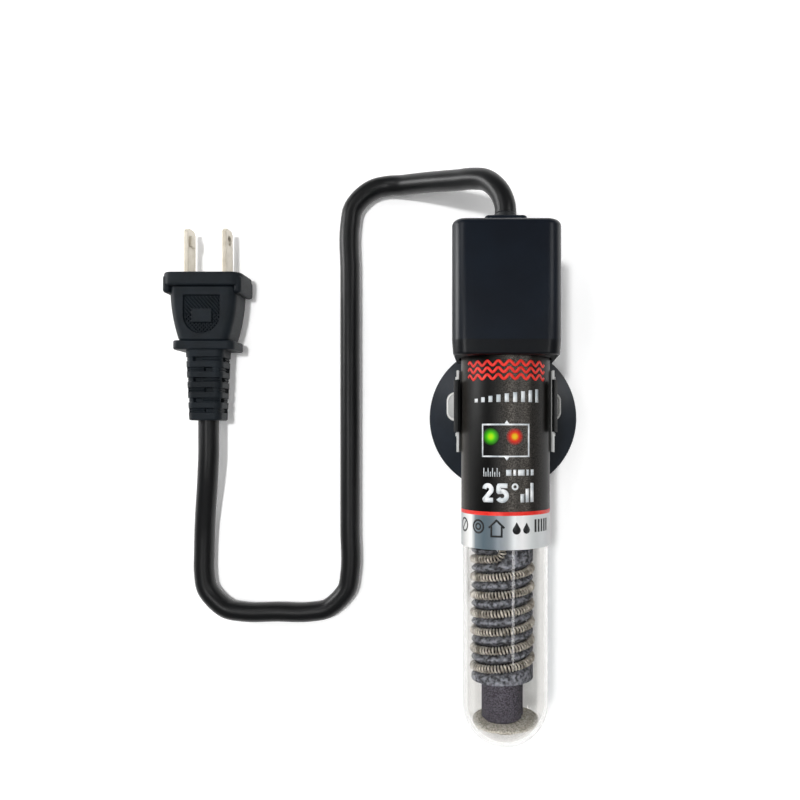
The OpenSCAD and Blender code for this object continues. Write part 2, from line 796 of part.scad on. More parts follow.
module heater_leads() {
    link_in = 1.2;                        // height of the cross lead on the lower terminal
    low_link_y = low_end_y - terminal_l + link_in;
    color(glass_yarn) along_element() {
        bent_lead(high_end_angle, board_face, coil_r, coil_r, high_end_y + terminal_l, solder_y,
            solder_y);
        bent_lead(low_end_angle, board_face, return_r, return_r, low_link_y, solder_y, solder_y);
        rotate([0, 0, low_end_angle]) translate([return_r, 0, low_link_y]) {
            sphere(r = lead_r, $fn = 24);
            rotate([0, 90, 0])
                cylinder(h = coil_r - terminal_r - return_r, r = lead_r, $fn = 24);
        }
    }
}

module coil_terminals() {
    color(brass) along_element() {
        translate(on_coil([high_end_angle, high_end_y]))
            cylinder(h = terminal_l, r = terminal_r, $fn = 32);
        translate(on_coil([low_end_angle, low_end_y - terminal_l]))
            cylinder(h = terminal_l, r = terminal_r, $fn = 32);
    }
}

module element_core() {
    edge = 0.8;
    notch_angle = -12;
    color(ceramic_grey) along_element() difference() {
        union() {
            translate([0, 0, -core_low_y]) cylinder(h = edge, r1 = core_r - edge, r2 = core_r);
            translate([0, 0, edge - core_low_y])
                cylinder(h = core_low_y - edge - core_top_y, r = core_r);
        }
        for (angle = [low_end_angle, notch_angle])
            rotate([0, 0, angle])
                translate([core_r - groove_in, -groove_w / 2, -core_low_y - reach])
                    cube([2 * groove_in, groove_w, core_low_y - core_top_y + 2 * reach]);
    }
}

module element_former() {
    height = former_low_y - former_top_y;
    points = concat(
        [for (row = [0:former_rows], col = [0:former_cols - 1])
            let (angle = 360 * col / former_cols,
                 z = -former_low_y + height * row / former_rows,
                 r = former_r(angle, z))
            [r * cos(angle), r * sin(angle), z]],
        [[0, 0, -former_low_y], [0, 0, -former_top_y]]);
    low_mid = (former_rows + 1) * former_cols;
    top_row = former_rows * former_cols;
    faces = concat(
        [for (row = [0:former_rows - 1], col = [0:former_cols - 1], t = [0, 1])
            let (a = row * former_cols + col,
                 b = row * former_cols + (col + 1) % former_cols)
            t == 0 ? [a, a + former_cols, b] : [b, a + former_cols, b + former_cols]],
        [for (col = [0:former_cols - 1]) [low_mid, col, (col + 1) % former_cols]],
        [for (col = [0:former_cols - 1])
            [low_mid + 1, top_row + (col + 1) % former_cols, top_row + col]]);
    color(ceramic_grey) along_element() difference() {
        polyhedron(points = points, faces = faces, convexity = 10);
        translate([0, 0, -former_low_y - reach]) cylinder(h = height + 2 * reach, r = former_bore_r);
    }
}

module heating_coil() {
    path = strand_path();
    echo(least_gap_of_the_winding = least_gap(path));
    points = [for (p = path) each strand_ring(p)];
    color(strand_grey) along_element()
        polyhedron(points = points, faces = tube_faces(len(path), coil_sides), convexity = 10);
}

module end_pad() {
    step = 0.5;
    color(pad_beige) along_tube() {
        translate([0, 0, -pad_low_y]) cylinder(h = pad_rim, r = pad_r);
        translate([0, 0, -pad_low_y - pad_cone])
            cylinder(h = pad_cone, r1 = pad_tip_r, r2 = pad_r - step);
    }
}

// ---- Holder ----

module grip_liner() {
    ridge_w = 1;
    relief_r = liner_in_r + edge_gap;
    color(light_grey) along_tube() difference() {
        union() {
            open_ring(liner_r, liner_in_r, liner_low_y, liner_top_y, liner_rise);
            open_ring(liner_r + ridge_h, liner_in_r, clip_low_y - ridge_gap - ridge_w,
                clip_low_y - ridge_gap, 0);
            open_ring(liner_r + ridge_h, liner_in_r, clip_top_y + ridge_gap,
                clip_top_y + ridge_gap + ridge_w, 0);
        }
        translate([0, 0, liner_low_y - reach]) intersection() {
            cylinder(h = liner_top_y - liner_low_y + 2 * reach, r = relief_r);
            translate([-liner_r, -liner_r, 0])
                cube([2 * liner_r, liner_r, liner_top_y - liner_low_y + 2 * reach]);
        }
    }
}

module clip_body() {
    step = 0.6;                           // the foot's straight part stands in from its edges
    straight_w = 2 * (foot_r - step);
    foot_top = axis_h - sqrt(pow(clip_in_r + clip_wall / 2, 2) - pow(foot_r, 2));
    color(soft_black) difference() {
        union() {
            along_tube() open_ring(clip_r, clip_in_r - reach, clip_low_y, clip_top_y, clip_rise);
            translate([0, 0, plate_top]) cylinder(h = foot_top - plate_top, r = foot_r);
            translate([-straight_w / 2, 0, plate_top])
                cube([straight_w, clip_top_y - step, foot_top - plate_top]);
        }
        along_tube() translate([0, 0, -2 * foot_r]) {
            cylinder(h = 4 * foot_r, r = clip_in_r);
            cylinder(h = 2 * foot_r + clip_low_y - ridge_gap / 2, r = liner_r + ridge_h + turn_gap);
        }
        translate([0, 0, plate_top - reach])
            cylinder(h = pocket_top - plate_top + reach, r = knob_r + turn_gap);
    }
}

module ear_plate() {
    ear_r = 3;
    color(light_grey) translate([0, 0, plate_low]) difference() {
        union() {
            cylinder(h = plate_t, r = plate_r);
            translate([-ear_half_w + ear_r, ear_y - ear_l / 2, 0])
                cube([2 * (ear_half_w - ear_r), ear_l, plate_t]);
            for (sx = [-1, 1]) {
                for (sy = [-1, 1])
                    translate([sx * (ear_half_w - ear_r), ear_y + sy * (ear_l / 2 - ear_r), 0])
                        cylinder(h = plate_t, r = ear_r, $fn = 48);
                translate([sx * (ear_half_w - ear_r) - ear_r, ear_y - ear_l / 2 + ear_r, 0])
                    cube([2 * ear_r, ear_l - 2 * ear_r, plate_t]);
            }
        }
        translate([0, 0, -reach]) cylinder(h = plate_t + 2 * reach, r = neck_r + swivel_clear);
    }
}

module suction_cup() {
    color(slate) rotate_extrude($fn = 96) polygon(cup_profile());
}

// Half section of the cup: flat sealing ring, lip, sloping back, shoulder, neck, knob and hollow
cup_edge = 0.4;       // bevel under the rim
lip_lean = 0.2;
knob_side = 0.5;
knob_taper = 0.8;
back_slope = 0.75;    // share of the back's height that rises evenly
function cup_profile() = concat(
    [[cup_r - cup_edge, 0], [cup_r, cup_edge], [cup_r - lip_lean, lip_t]],
    [for (i = [1:5]) back_point(i / 6)],
    [[shoulder_r, cup_h], [neck_r, cup_h], [neck_r, knob_low], [knob_r, knob_low],
     [knob_r, knob_low + knob_side], [knob_r - knob_taper, knob_top], [0, knob_top]],
    [for (i = [0:6]) hollow_point(i / 6)]);
function back_point(t) =
    [cup_r - lip_lean + (shoulder_r - cup_r + lip_lean) * t,
     lip_t + (cup_h - lip_t) * (back_slope * t + (1 - back_slope) * t * t)];
function hollow_point(t) =
    [(cup_r - cup_edge - lip_w) * sin(90 * t), hollow_h * cos(90 * t)];

// ---- Lead and plug ----

module cord() {
    rings = len(cord_route);
    points = [for (i = [0:rings - 1]) each route_ring(cord_route, i, cord_r, cord_sides)];
    color(soft_black)
        polyhedron(points = points, faces = tube_faces(rings, cord_sides), convexity = 10);
}

module plug_body() {
    color(ink_black) along_plug() difference() {
        union() {
            plug_flange();
            plug_grip();
            plug_collar();
            plug_relief();
        }
        blade_slots();
        carrier_block();
        panel_recess();
    }
}

module plug_flange() {
    edge = 1;
    corner_r = 4.5;
    hull() {
        slice(flange_w - 2 * edge, flange_d - 2 * edge, corner_r - edge, flange_y);
        corners(flange_w, flange_d, corner_r, flange_y + edge, blade_y - edge);
        slice(flange_w - 2 * edge, flange_d - 2 * edge, corner_r - edge, blade_y - sheet);
    }
}

// Shield-shaped grip, whose sides curve in towards the collar
module plug_grip() {
    steps = 6;
    corner_r = 2.6;
    side_curve = 2.4;
    hull() for (i = [0:steps])
        slice(plug_waist + (plug_w - plug_waist) * (1 - pow(1 - i / steps, side_curve)), plug_d,
            corner_r, plug_y + (plug_l - sheet) * i / steps);
}

module plug_collar() {
    edge = 0.7;
    corner_r = 2.5;
    hull() {
        slice(collar_w - 2 * edge, collar_d - 2 * edge, corner_r - edge, collar_y);
        corners(collar_w, collar_d, corner_r, collar_y + edge, plug_y - edge);
        slice(collar_w - 2 * edge, collar_d - 2 * edge, corner_r - edge, plug_y - sheet);
    }
}

// Tapered strain relief with staggered slots, so that it bends in steps
module plug_relief() {
    first = 2.6;
    tail_edge = 0.5;
    corner_r = 3;
    difference() {
        hull() {
            slice(relief_tail_w - 2 * tail_edge, relief_tail_d - 2 * tail_edge, corner_r - tail_edge,
                plug_tail_y);
            slice(relief_tail_w, relief_tail_d, corner_r, plug_tail_y + tail_edge);
            slice(relief_w, relief_d, corner_r, collar_y);
        }
        for (row = [0:relief_rows - 1])
            translate([0, 0, plug_tail_y + first + row * relief_pitch])
                relief_cut(first + row * relief_pitch, row % 2 == 0 ? -1 : 1);
    }
}

// One row: each face has a slot on one side of its middle and a thin groove on the other
module relief_cut(z, side) {
    sheath = 0.3;           // left round the lead
    for (face = [0:3]) {
        half = face % 2 == 0 ? part_way(relief_tail_d, relief_d, z / relief_l) / 2
                             : part_way(relief_tail_w, relief_w, z / relief_l) / 2;
        rotate([0, 0, 90 * face]) mirror([side > 0 ? 1 : 0, 0, 0]) {
            translate([-relief_slot_x - relief_slot_w / 2, cord_r + sheath, 0])
                cube([relief_slot_w, relief_w, relief_slot]);
            translate([-relief_slot_x, half - relief_groove_in, (relief_slot - relief_groove) / 2])
                cube([relief_w, relief_w, relief_groove]);
        }
    }
}

// Value part t of the way from a to b
function part_way(a, b, t) = a + (b - a) * t;

// Shield-shaped recess on the upper face, with a plain raised block left in it
module panel_recess() {
    panel_drop = 2.6;       // from the flange to the panel
    badge_drop = 4.4;       // from the panel's edge to the block
    panel_top = plug_y + plug_l - panel_drop;
    round_r = panel_w / 2;
    translate([0, -plug_d / 2 - reach, 0]) rotate([-90, 0, 0])
        linear_extrude(height = panel_in + reach) difference() {
            union() {
                translate([-panel_w / 2, -panel_top]) square([panel_w, panel_l - round_r]);
                translate([0, -panel_top + panel_l - round_r]) circle(r = round_r);
            }
            translate([-badge_w / 2, -panel_top + badge_drop]) square([badge_w, badge_l]);
        }
}

module blade_slots() {
    for (side = [-1, 1])
        translate([side * blade_gap / 2 - blade_t / 2, -blade_w / 2, blade_y - blade_in])
            cube([blade_t, blade_w, blade_in + reach]);
}

// Outer shape of the contact carrier
module carrier_block() {
    w = blade_gap + blade_t + 2 * insert_wall;
    d = blade_w + 2 * insert_wall;
    translate([-w / 2, -d / 2, blade_y - blade_in - insert_l])
        cube([w, d, insert_l + blade_in - insert_front]);
}

module plug_insert() {
    color(carrier_grey) along_plug() difference() {
        carrier_block();
        blade_slots();
        for (side = [-1, 1])
            translate([side * blade_gap / 2, 0, blade_y - blade_in - insert_l - reach])
                cylinder(h = insert_l + 2 * reach, r = crimp_r);
    }
}

module blade(side) {
    tip = 1.2;
    blade_end = blade_in + blade_l;
    half_w = blade_w / 2;
    color(nickel) along_plug()
        translate([side * blade_gap / 2 + blade_t / 2, 0, blade_y - blade_in]) rotate([0, -90, 0])
            difference() {
                linear_extrude(height = blade_t) polygon([
                    [0, -half_w], [blade_end - tip, -half_w], [blade_end, tip - half_w],
                    [blade_end, half_w - tip], [blade_end - tip, half_w], [0, half_w]]);
                translate([blade_end - blade_hole_in, 0, -reach])
                    cylinder(h = blade_t + 2 * reach, r = blade_hole_r, $fn = 48);
            }
}

module blade_left() {
    blade(-1);
}

module blade_right() {
    blade(1);
}

module plug_crimps() {
    color(copper) along_plug()
        for (side = [-1, 1])
            translate([side * blade_gap / 2, 0, blade_y - blade_in - insert_l])
                cylinder(h = insert_l, r = crimp_r, $fn = 32);
}

// ---- Pieces drawn ----

glass_tube();
label_sleeve();
head_shell();
seal_rings();
tube_stopper();
cord_gland();
supply_leads();
circuit_board();
lamp_green();
lamp_red();
control_chip();
dropper_capacitor();
smoothing_capacitor();
switching_triac();
board_resistors();
thermistor();
thermal_fuse();
heat_shield();
heater_leads();
coil_terminals();
element_core();
element_former();
heating_coil();
end_pad();
grip_liner();
clip_body();
ear_plate();
suction_cup();
cord();
plug_body();
plug_insert();
blade_left();
blade_right();
plug_crimps();
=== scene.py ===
# Submersible aquarium heater: glass tube, ribbed element, head, holder, lead and plug
from math import atan, atan2, cos, hypot, pi, radians, sin, tau

import bmesh
import bpy
import numpy as np
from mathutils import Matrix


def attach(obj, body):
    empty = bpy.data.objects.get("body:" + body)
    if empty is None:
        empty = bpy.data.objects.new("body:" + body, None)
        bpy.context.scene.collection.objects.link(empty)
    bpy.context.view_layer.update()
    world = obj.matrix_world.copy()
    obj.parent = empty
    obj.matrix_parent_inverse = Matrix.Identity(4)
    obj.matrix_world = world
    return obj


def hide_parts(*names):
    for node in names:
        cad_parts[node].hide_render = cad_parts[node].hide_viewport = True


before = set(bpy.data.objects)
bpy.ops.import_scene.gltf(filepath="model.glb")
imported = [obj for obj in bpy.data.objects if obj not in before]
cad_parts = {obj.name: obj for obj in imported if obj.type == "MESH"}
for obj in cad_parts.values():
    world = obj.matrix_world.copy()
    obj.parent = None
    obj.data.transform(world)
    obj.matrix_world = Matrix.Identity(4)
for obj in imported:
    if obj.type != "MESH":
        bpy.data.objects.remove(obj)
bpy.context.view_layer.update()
print("frame loaded:", len(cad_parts), "nodes")

mm = 0.001
axisH = 30.0  # height of the tube's middle line, in mm as every size below


# Turns an sRGB hex colour into linear light: c / 12.92 when dark, else ((c + 0.055) / 1.055) ^ 2.4
def linear(hexColour):
    c = np.array([int(hexColour[i : i + 2], 16) / 255 for i in (1, 3, 5)])
    light = np.where(c <= 0.04045, c / 12.92, ((c + 0.055) / 1.055) ** 2.4)
    return (*light.tolist(), 1.0)


# Adds one shader node; its kind may end in an operation. Settings go to attributes or inputs, and
# links come from a socket or from a node's first output
def addNode(tree, kind, settings=None, links=None):
    kind, *operation = kind.split()
    node = tree.nodes.new("ShaderNode" + kind)
    if operation:
        node.operation = operation[0]
    for key, value in (settings or {}).items():
        if isinstance(key, str) and hasattr(node, key):
            setattr(node, key, value)
        else:
            node.inputs[key].default_value = value
    for key, source in (links or {}).items():
        socket = source.outputs[0] if isinstance(source, bpy.types.Node) else source
        tree.links.new(socket, node.inputs[key])
    return node


# Replaces a ramp's stops by (place, linear colour) stops, whose first place is 0
def setStops(ramp, stops):
    held = ramp.color_ramp.elements
    held.remove(held[1])
    for number, (place, colour) in enumerate(stops):
        stop = held.new(place) if number else held[0]
        stop.color = colour


# A new object in the scene
def addObject(name, data):
    made = bpy.data.objects.new(name, data)
    bpy.context.scene.collection.objects.link(made)
    return made


# The emptied node tree of a material or a world
def emptyTree(owner):
    owner.use_nodes = True
    owner.node_tree.nodes.clear()
    return owner.node_tree


# A material with its shader on the output
def newMaterial(name, settings):
    material = bpy.data.materials.new(name)
    tree = emptyTree(material)
    shader = addNode(tree, "BsdfPrincipled", settings)
    addNode(tree, "OutputMaterial", links={"Surface": shader})
    return material, tree, shader


# A moulded, cast or drawn skin: two shades in soft clouds, gloss that varies with them, fine bump
def skin(name, dark, light, cloudMm, rough, bump=0.05, grainMm=0.3, metallic=0.0, ior=1.5,
         specular=0.5, spread=(0.35, 0.65), fleck=False):
    material, tree, shader = newMaterial(name,
        {"IOR": ior, "Metallic": metallic, "Specular IOR Level": specular})
    place = addNode(tree, "TexCoord").outputs["Object"]
    clouds = addNode(tree, "TexNoise", {"Scale": 1000 / cloudMm, "Detail": 4.0}, {"Vector": place})
    grain = addNode(tree, "TexNoise", {"Scale": 1000 / grainMm, "Detail": 3.0}, {"Vector": place})
    share = addNode(tree, "MapRange", {"From Min": spread[0], "From Max": spread[1]},
        {"Value": grain if fleck else clouds})
    shade = addNode(tree, "Mix", {"data_type": "RGBA", 6: linear(dark), 7: linear(light)}, {0: share})
    gloss = addNode(tree, "MapRange",
        {"From Min": 0.3, "From Max": 0.7, "To Min": rough[0], "To Max": rough[1]},
        {"Value": grain})
    relief = addNode(tree, "Bump",
        {"Strength": bump, "Distance": grainMm * mm / 2}, {"Height": grain})
    tree.links.new(shade.outputs[2], shader.inputs["Base Color"])
    tree.links.new(gloss.outputs[0], shader.inputs["Roughness"])
    tree.links.new(relief.outputs[0], shader.inputs["Normal"])
    return material


# Multiplies a skin's colour by a socket of its own tree
def tint(material, socket):
    tree = material.node_tree
    base = tree.nodes["Principled BSDF"].inputs["Base Color"]
    product = addNode(tree, "VectorMath MULTIPLY", {}, {0: base.links[0].from_socket, 1: socket})
    tree.links.new(product.outputs[0], base)


# Scales a skin's colour from one share to another between two sizes in mm: the distance from a line
# along Y when a centre is given, else the length along Y
# It paints shade into the head's skirt, the wire, the former's grooves and the liner's bore, and makes
# the pad's rim paler
def shadeBy(material, start, end, shares, centre=None):
    tree = material.node_tree
    place = addNode(tree, "TexCoord").outputs["Object"]
    if centre:
        middle = (centre[0] * mm, 0, centre[1] * mm)
        offset = addNode(tree, "VectorMath SUBTRACT", {1: middle}, {0: place})
        across = addNode(tree, "VectorMath MULTIPLY", {1: (1, 0, 1)}, {0: offset})
        size = addNode(tree, "VectorMath LENGTH", {}, {0: across}).outputs["Value"]
    else:
        size = addNode(tree, "SeparateXYZ", links={0: place}).outputs[1]
    level = addNode(tree, "MapRange", {"From Min": start * mm, "From Max": end * mm,
        "To Min": shares[0], "To Max": shares[1]}, {"Value": size})
    tint(material, level.outputs[0])


# Colour by the turn about the tube's middle line, from (degrees from the top, colour) stops; it paints
# the foil's reflections and the sleeve's sheen
def turnBands(tree, bands):
    place = addNode(tree, "SeparateXYZ", links={0: addNode(tree, "TexCoord").outputs["Object"]})
    up = addNode(tree, "Math SUBTRACT", {1: axisH * mm}, {0: place.outputs[2]})
    turn = addNode(tree, "Math ARCTAN2", {}, {0: place, 1: up})
    share = addNode(tree, "MapRange", {"From Min": -pi, "From Max": pi}, {"Value": turn})
    ramp = addNode(tree, "ValToRGB", links={0: share})
    setStops(ramp, [((degrees + 180) / 360, linear(hexColour)) for degrees, hexColour in bands])
    return ramp.outputs[0]


# Coordinates side by side, as points
def joined(*parts):
    return np.stack(parts, -1)


# Quads between the rows and columns of a grid of points, wrapped where it closes on itself
def gridFaces(rows, columns, wrapRows, wrapColumns):
    i = np.arange(rows if wrapRows else rows - 1)[:, None]
    j = np.arange(columns if wrapColumns else columns - 1)[None, :]
    k, l = (i + 1) % rows, (j + 1) % columns
    corners = (i * columns + j, i * columns + l, k * columns + l, k * columns + j)
    return joined(*corners).reshape(-1, 4)


# Volume inside the quads, the sum of a . (b x c) / 6; negative when they face inwards
def enclosed(points, quads):
    a, b, c, d = (points[quads[:, k]] for k in range(4))
    return ((a * np.cross(b, c)).sum() + (a * np.cross(c, d)).sum()) / 6


# Merges points of a mesh that lie together, and the flat faces too when asked
def merge(mesh, distance, flat=False):
    work = bmesh.new()
    work.from_mesh(mesh)
    bmesh.ops.remove_doubles(work, verts=work.verts, dist=distance)
    if flat:
        bmesh.ops.dissolve_limit(work, angle_limit=radians(1), verts=work.verts, edges=work.edges)
    work.to_mesh(mesh)
    work.free()


# Makes one object from one closed grid of points in mm, or from (grid, kind) pairs. "closed" wraps
# the columns of a solid, "loop" its rows too; "open" and "disc" are patches on the tube that are
# turned to face away from its middle line
def makePiece(name, grids, material, instead=(), sharp=38, body="heater"):
    points, faces, start = [], [], 0
    for grid, kind in grids if isinstance(grids, list) else [(grids, "closed")]:
        rows, columns = grid.shape[:2]
        flat = grid.reshape(-1, 3) * mm
        quads = gridFaces(rows, columns, kind == "loop", kind != "open")
        outward = enclosed(flat - [0, 0, axisH * mm if kind in ("open", "disc") else 0], quads)
        if outward < 0:
            quads = quads[:, ::-1]
        points.append(flat)
        faces.append(quads + start)
        start += len(flat)
    mesh = bpy.data.meshes.new(name)
    mesh.from_pydata(np.concatenate(points).tolist(), [], np.concatenate(faces).tolist())
    merge(mesh, 1e-7)
    return addPiece(name, mesh, material, instead, sharp, body)


def addPiece(name, mesh, material, instead, sharp, body):
    mesh.shade_smooth()
    mesh.set_sharp_from_angle(angle=radians(sharp))
    mesh.materials.clear()
    mesh.materials.append(material)
    piece = addObject(name, mesh)
    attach(piece, body)
    if instead:
        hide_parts(*instead)
    return piece


# A CAD node's own shape, merged, with its sharp edges rounded by a bevel
def softened(node, name, material, bevelMm, body="heater"):
    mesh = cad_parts[node].data.copy()
    mesh.name = name
    merge(mesh, 1e-6, flat=True)
    piece = addPiece(name, mesh, material, (node,), 50, body)
    bevel = piece.modifiers.new("roundedEdges", "BEVEL")
    bevel.width = bevelMm * mm
    bevel.segments = 3
    bevel.limit_method = "ANGLE"
    bevel.angle_limit = radians(40)
    bevel.harden_normals = True
    return piece


# Vectors v / |v|
def unit(vectors):
    return vectors / np.maximum(np.linalg.norm(vectors, axis=1, keepdims=True), 1e-9)


# Length of a line up to each of its points
def runAlong(line):
    return np.append(0, np.cumsum(np.linalg.norm(np.diff(line, axis=0), axis=1)))


# Points of a line at given lengths along it
def pointsAt(line, run, lengths):
    return joined(*(np.interp(lengths, run, part) for part in line.T))


# Corners (u, v, radius) joined by straight lines, each corner cut by an arc of its radius
def rounded(corners, steps=7):
    data = np.array(corners, float)
    at, radius = data[:, :2], data[:, 2]
    back, ahead = (unit(np.roll(at, step, 0) - at) for step in (1, -1))
    half = np.maximum(np.arccos(np.clip((back * ahead).sum(1), -1, 1)) / 2, 1e-3)
    centre = at + unit(back + ahead) * (radius / np.sin(half))[:, None]
    run = (radius / np.tan(half))[:, None]
    sweep = pi - 2 * half[:, None]
    share = np.linspace(0, 1, steps)[None, :]
    bottom = np.maximum(np.sin(sweep), 1e-9)
    first = (np.sin((1 - share) * sweep) / bottom)[..., None] * (at + back * run - centre)[:, None]
    last = (np.sin(share * sweep) / bottom)[..., None] * (at + ahead * run - centre)[:, None]
    arcs = np.where((radius > 0)[:, None, None], centre[:, None] + first + last, at[:, None])
    line = arcs.reshape(-1, 2)
    keep = np.append(True, np.linalg.norm(np.diff(line, axis=0), axis=1) > 1e-6)
    return line[keep]


# Profile (radius, length) turned about the tube's middle line: x = r sin a, z = axis + r cos a
def turned(profile, columns):
    angle = np.arange(columns) * tau / columns
    r, y = profile[:, 0, None], profile[:, 1, None]
    return joined(r * np.sin(angle), y + 0 * angle, axisH + r * np.cos(angle))


# Sections with round corners: four quarter arcs joined by straight sides, one section per row
def roundSections(halfW, halfD, radius, arcSteps, flatSteps):
    halfW, halfD, radius = (np.asarray(v, float)[:, None] for v in (halfW, halfD, radius))
    turn = np.linspace(0, pi / 2, arcSteps)[None, :]
    signs = [(1, 1), (-1, 1), (-1, -1), (1, -1)]
    arcs = [joined(sx * (halfW - radius) + radius * np.cos(turn + q * pi / 2),
                   sy * (halfD - radius) + radius * np.sin(turn + q * pi / 2))
            for q, (sx, sy) in enumerate(signs)]
    parts = []
    for q in range(4):
        share = (np.arange(flatSteps[q]) + 1)[None, :, None] / (flatSteps[q] + 1)
        end, start = arcs[q][:, -1:], arcs[(q + 1) % 4][:, :1]
        parts += [arcs[q], end + (start - end) * share]
    return np.concatenate(parts, 1)


# Stands sections up along Y: across is x, up is z
def alongY(sections, y, x0=0.0, z0=axisH):
    level = np.broadcast_to(np.asarray(y, float)[:, None], sections.shape[:2])
    return joined(x0 + sections[..., 0], level, z0 + sections[..., 1])


# Straight above the heater and near by
cameraSettings = {"at": (-6.3, -6.24, 243.5), "lens": 31.5, "shift": (-0.106, 0.045)}
cameraData = bpy.data.cameras.new("camera")
cameraData.lens, cameraData.sensor_width = cameraSettings["lens"], 36
cameraData.shift_x, cameraData.shift_y = cameraSettings["shift"]
cameraData.clip_start, cameraData.clip_end = 0.01, 20
camera = addObject("camera", cameraData)
camera.location = [c * mm for c in cameraSettings["at"]]
bpy.context.scene.camera = camera
bpy.context.scene.view_settings.view_transform = "Standard"
print("camera placed")

# Flexible PVC, extruded: satin black, with a soft line of light along it
leadRubber = skin("pvcExtrudedBlack", "#070809", "#0b0c0e", cloudMm=6, grainMm=0.35,
    rough=(0.33, 0.4), bump=0.1, specular=0.4)
leadSettings = {
    "diameter": 6.6,
    "sides": 28,
    "stepMm": 1.0,
    "route": [
        [0, 61.5, 30], [0, 63, 30], [-1, 67, 29.5], [-3, 70.5, 28], [-6, 73.5, 25.5],
        [-10, 75, 22.5], [-15, 76, 18.5], [-20, 77, 14.8], [-25, 78, 11], [-30, 78.8, 7.5],
        [-34.5, 79.3, 4.8], [-39, 79.5, 3.6],
        *([x, y, 3.4] for x, y in (
            (-44, 78.5), (-48.5, 75.5), (-51.5, 71.5), (-52.5, 66), (-52.5, 50), (-52.5, 32),
            (-52.5, 14), (-52.5, -4), (-52.5, -22), (-52.5, -38), (-52.5, -53), (-53.5, -58.5),
            (-56.5, -62.5), (-60.5, -65.5), (-66, -66.5), (-77.5, -66.5), (-89, -66.5),
            (-94.5, -65.5), (-98.5, -62.5), (-101.5, -58.5), (-102.5, -53), (-102.5, -46))),
        [-102.3, -40, 3.6], [-101.7, -33, 4.4], [-100.8, -26, 5.5], [-100, -19, 6.6],
        [-99.5, -12, 7.2], [-99.5, -7, 7.2], [-99.5, -1, 7.2],
    ],
}


# Smooth line through points: a cubic h00 p + h10 m + h01 p' + h11 m' between each pair, where m is
# the slope times the stretch, then evened out by length
def smoothLine(points, stepMm):
    p = np.array(points, float)
    chord = runAlong(p)
    slope = np.gradient(p, chord, axis=0)
    fine = np.linspace(0, chord[-1], int(chord[-1] * 8))
    k = np.clip(np.searchsorted(chord, fine, "right") - 1, 0, len(p) - 2)
    span = (chord[k + 1] - chord[k])[:, None]
    t = ((fine - chord[k])[:, None]) / span
    line = ((2 * t**3 - 3 * t**2 + 1) * p[k] + (t**3 - 2 * t**2 + t) * span * slope[k]
            + (3 * t**2 - 2 * t**3) * p[k + 1] + (t**3 - t**2) * span * slope[k + 1])
    run = runAlong(line)
    return pointsAt(line, run, np.linspace(0, run[-1], max(int(run[-1] / stepMm), 2))), run[-1]


# Tube of rings round a line: centre + r (cos a across + sin a over), ends drawn in to a point
def ringsRound(line, r, sides, across, over):
    a = (np.arange(sides) * tau / sides)[None, :, None]
    ring = line[:, None] + r * (np.cos(a) * across[:, None] + np.sin(a) * over[:, None])
    ends = [np.repeat(line[k][None, None], sides, 1) for k in (0, -1)]
    return np.concatenate([ends[0], ring, ends[1]])


# Tube along a line that never runs straight up
def tubeAlong(line, r, sides):
    along = unit(np.gradient(line, axis=0))
    across = unit(np.cross(along, (0, 0, 1)))
    return ringsRound(line, r, sides, across, np.cross(across, along))


leadLine, leadLength = smoothLine(leadSettings["route"], leadSettings["stepMm"])
leadCord = makePiece("leadCord",
    tubeAlong(leadLine, leadSettings["diameter"] / 2, leadSettings["sides"]),
    leadRubber, ("cord",))
print(f"lead laid: {leadLength:.1f} mm")

# Polypropylene, injection moulded: navy black, matte, with a faint grain
headPlastic = skin("polypropyleneMouldedNavy", "#090f18", "#0c141e", cloudMm=14,
    grainMm=0.25, rough=(0.3, 0.36), ior=1.49, specular=0.35)
headSettings = {"w": 31.6, "d": 30.6, "low": 17.0, "top": 56.0, "corner": 4.4, "round": 1.8,
    "skirt": 4.3, "taper": 0.35, "rim": 0.7, "socket": 14.2, "socketTop": 41.0, "wiring": 11.5,
    "wiringTop": 51.0, "bossLow": 6.8, "bossTop": 6.2, "bossH": 3.3, "bossCorner": 1.4,
    "glandHole": 3.5, "skirtPaintedShade": (21.1, 21.5, (0.3, 1.0))}
# Painted shade: below 21.1 mm along Y the skirt's colour drops to 0.3, where its taper turns from the
# light
shadeBy(headPlastic, *headSettings["skirtPaintedShade"])


# Closed loft of four-sided rows: skirt, block and cord boss outside, then circles down the inside
def headRows(s):
    low, top, hole = s["low"], s["top"], s["glandHole"]
    inset, y = rounded([[s["taper"] + s["rim"] + 0.3, low, 0], [s["taper"], low, s["rim"]],
        [0, low + s["skirt"], 0.2], [0, top, s["round"]], [s["corner"] - 0.4, top, 0]], 10).T
    outer = joined(s["w"] / 2 - inset, s["d"] / 2 - inset, s["corner"] - inset, y)
    bossTop = top + s["bossH"]
    boss, y = rounded([[s["bossLow"] + 0.8, top, 0], [s["bossLow"], top, 0.3],
        [s["bossTop"], bossTop, 0.35], [hole + 1.2, bossTop, 0]]).T
    square = joined(boss, boss, 0 * boss + s["bossCorner"], y)
    circles, y = rounded([[hole + 0.8, bossTop, 0], [hole, bossTop, 0.2],
        [hole, s["wiringTop"], 0], [s["wiring"], s["wiringTop"], 0.8],
        [s["wiring"], s["socketTop"], 0], [s["socket"], s["socketTop"], 0.2],
        [s["socket"], low, 0]]).T
    inner = joined(circles, circles, circles, y)
    return np.concatenate([outer, square, inner])


*sections, headY = headRows(headSettings).T
makePiece("headCap", [(alongY(roundSections(*sections, 13, (5, 5, 5, 5)), headY), "loop")],
    headPlastic, ("head_shell",), 30)

